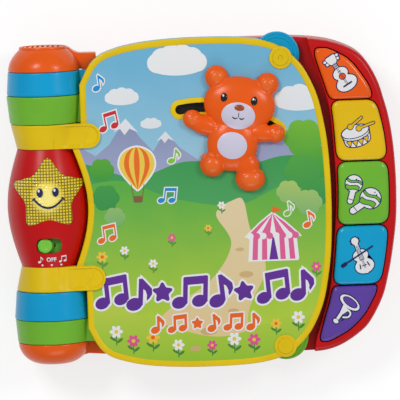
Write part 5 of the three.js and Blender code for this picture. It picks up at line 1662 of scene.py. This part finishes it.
mouth = [
    smooth([(28.6, 64.6), (28.2, 62.2), (28.0, 60.6)], 12),
    smooth([(23.4, 61.6), (25.4, 59.9), (28.0, 60.6)], 14),
    smooth([(28.0, 60.6), (30.2, 59.2), (32.4, 60.2)], 14),
]
on_bear("bear_mouth", [band_line(line, 0.8) for line in mouth], 1.6, dark_ink)


# Finishes of the pieces that keep their CAD shape
def dress(node, material):
    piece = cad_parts[node]
    piece.data.materials.clear()
    piece.data.materials.append(material)


page = gradient_card("page_print", (236, 226, 196), (206, 226, 236), -100, 100)
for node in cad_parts:
    if node.endswith("_print") and not node.startswith("cover_print"):
        dress(node, page)
for node in ("top_spindle", "bottom_spindle", "speaker", "mode_switch", "bear_retainer"):
    dress(node, black)
for node in ("lamp_board", "key_board", "main_board"):
    dress(node, board_green)
for node in ("battery_1", "battery_2"):
    dress(node, battery_skin)
for node in ("battery_contact_1", "battery_contact_2", "battery_door_screw"):
    dress(node, bright_steel)
for number in range(1, 5):
    dress(f"housing_screw_{number}", bright_steel)
dress("key_membrane", rubber)
dress("battery_door", red)


# Floor, light and camera
def pale_stage(name, strength):
    material = bpy.data.materials.new(name)
    material.use_nodes = True
    tree = material.node_tree
    shader = tree.nodes["Principled BSDF"]
    shader.inputs["Base Color"].default_value = (0.4, 0.4, 0.4, 1)
    shader.inputs["Roughness"].default_value = 0.9
    shader.inputs["Specular IOR Level"].default_value = 0.1
    path = tree.nodes.new("ShaderNodeLightPath")
    seen = tree.nodes.new("ShaderNodeMath")
    seen.operation = "MAXIMUM"
    socket_link(tree, path.outputs["Is Camera Ray"], seen.inputs[0])
    socket_link(tree, path.outputs["Is Glossy Ray"], seen.inputs[1])
    through = tree.nodes.new("ShaderNodeMath")
    through.operation = "MAXIMUM"
    socket_link(tree, seen.outputs["Value"], through.inputs[0])
    socket_link(tree, path.outputs["Is Transmission Ray"], through.inputs[1])
    glow = tree.nodes.new("ShaderNodeMath")
    glow.operation = "MULTIPLY"
    glow.inputs[1].default_value = strength
    socket_link(tree, through.outputs["Value"], glow.inputs[0])
    shader.inputs["Emission Color"].default_value = (1, 1, 1, 1)
    socket_link(tree, glow.outputs["Value"], shader.inputs["Emission Strength"])
    return material


FLOOR_REACH = 6
FLOOR_Z = -0.0002
floor_mesh = bpy.data.meshes.new("floor")
floor_corners = [(x * FLOOR_REACH, y * FLOOR_REACH, FLOOR_Z) for x, y in ((-1, -1), (1, -1), (1, 1), (-1, 1))]
floor_mesh.from_pydata(floor_corners, [], [(0, 1, 2, 3)])
floor = bpy.data.objects.new("floor", floor_mesh)
scene.collection.objects.link(floor)
floor_mesh.materials.append(pale_stage("pale_floor", 0.7))


def soft_light(name, place, target, size, power):
    lamp = bpy.data.lights.new(name, "AREA")
    lamp.shape = "RECTANGLE"
    lamp.size, lamp.size_y = size
    lamp.energy = power
    holder = bpy.data.objects.new(name, lamp)
    holder.location = place
    holder.rotation_euler = (Vector(target) - Vector(place)).to_track_quat("-Z", "Y").to_euler()
    scene.collection.objects.link(holder)


soft_light("key_light", (-0.7, 0.9, 1.3), (0, 0, 0.03), (0.5, 0.35), 8.6)
soft_light("fill_light", (1.0, 0.6, 1.2), (0, 0, 0.03), (0.45, 0.3), 5.6)
soft_light("low_light", (0.1, -1.3, 0.9), (0, 0, 0.03), (1.0, 0.4), 3.6)

world = bpy.data.worlds.new("studio")
scene.world = world
world.use_nodes = True
sky_light = world.node_tree.nodes["Background"]
sky_light.inputs["Color"].default_value = (0.97, 0.98, 1.0, 1)
sky_light.inputs["Strength"].default_value = 0.36

SENSOR = 36
PICTURE_PIXELS = 400
FOCAL_PIXELS = 3875
DISTANCE = 2.8
TILT = math.radians(5.8)
ROLL = math.radians(-2.0)
camera_data = bpy.data.cameras.new("camera")
camera_data.sensor_width = SENSOR
camera_data.lens = SENSOR * FOCAL_PIXELS / PICTURE_PIXELS
camera_data.clip_end = 20
camera = bpy.data.objects.new("camera", camera_data)
scene.collection.objects.link(camera)
aim = Matrix(((1, 0, 0), (0, math.cos(TILT), math.sin(TILT)), (0, -math.sin(TILT), math.cos(TILT)))).to_4x4()
aim = aim @ Matrix.Rotation(ROLL, 4, "Z")
shift = aim @ Vector((-0.001, -0.0026, 0))
camera.matrix_world = Matrix.Translation(
    Vector((0, DISTANCE * math.sin(TILT), DISTANCE * math.cos(TILT))) + shift) @ aim
scene.camera = camera
scene.view_settings.view_transform = "Standard"
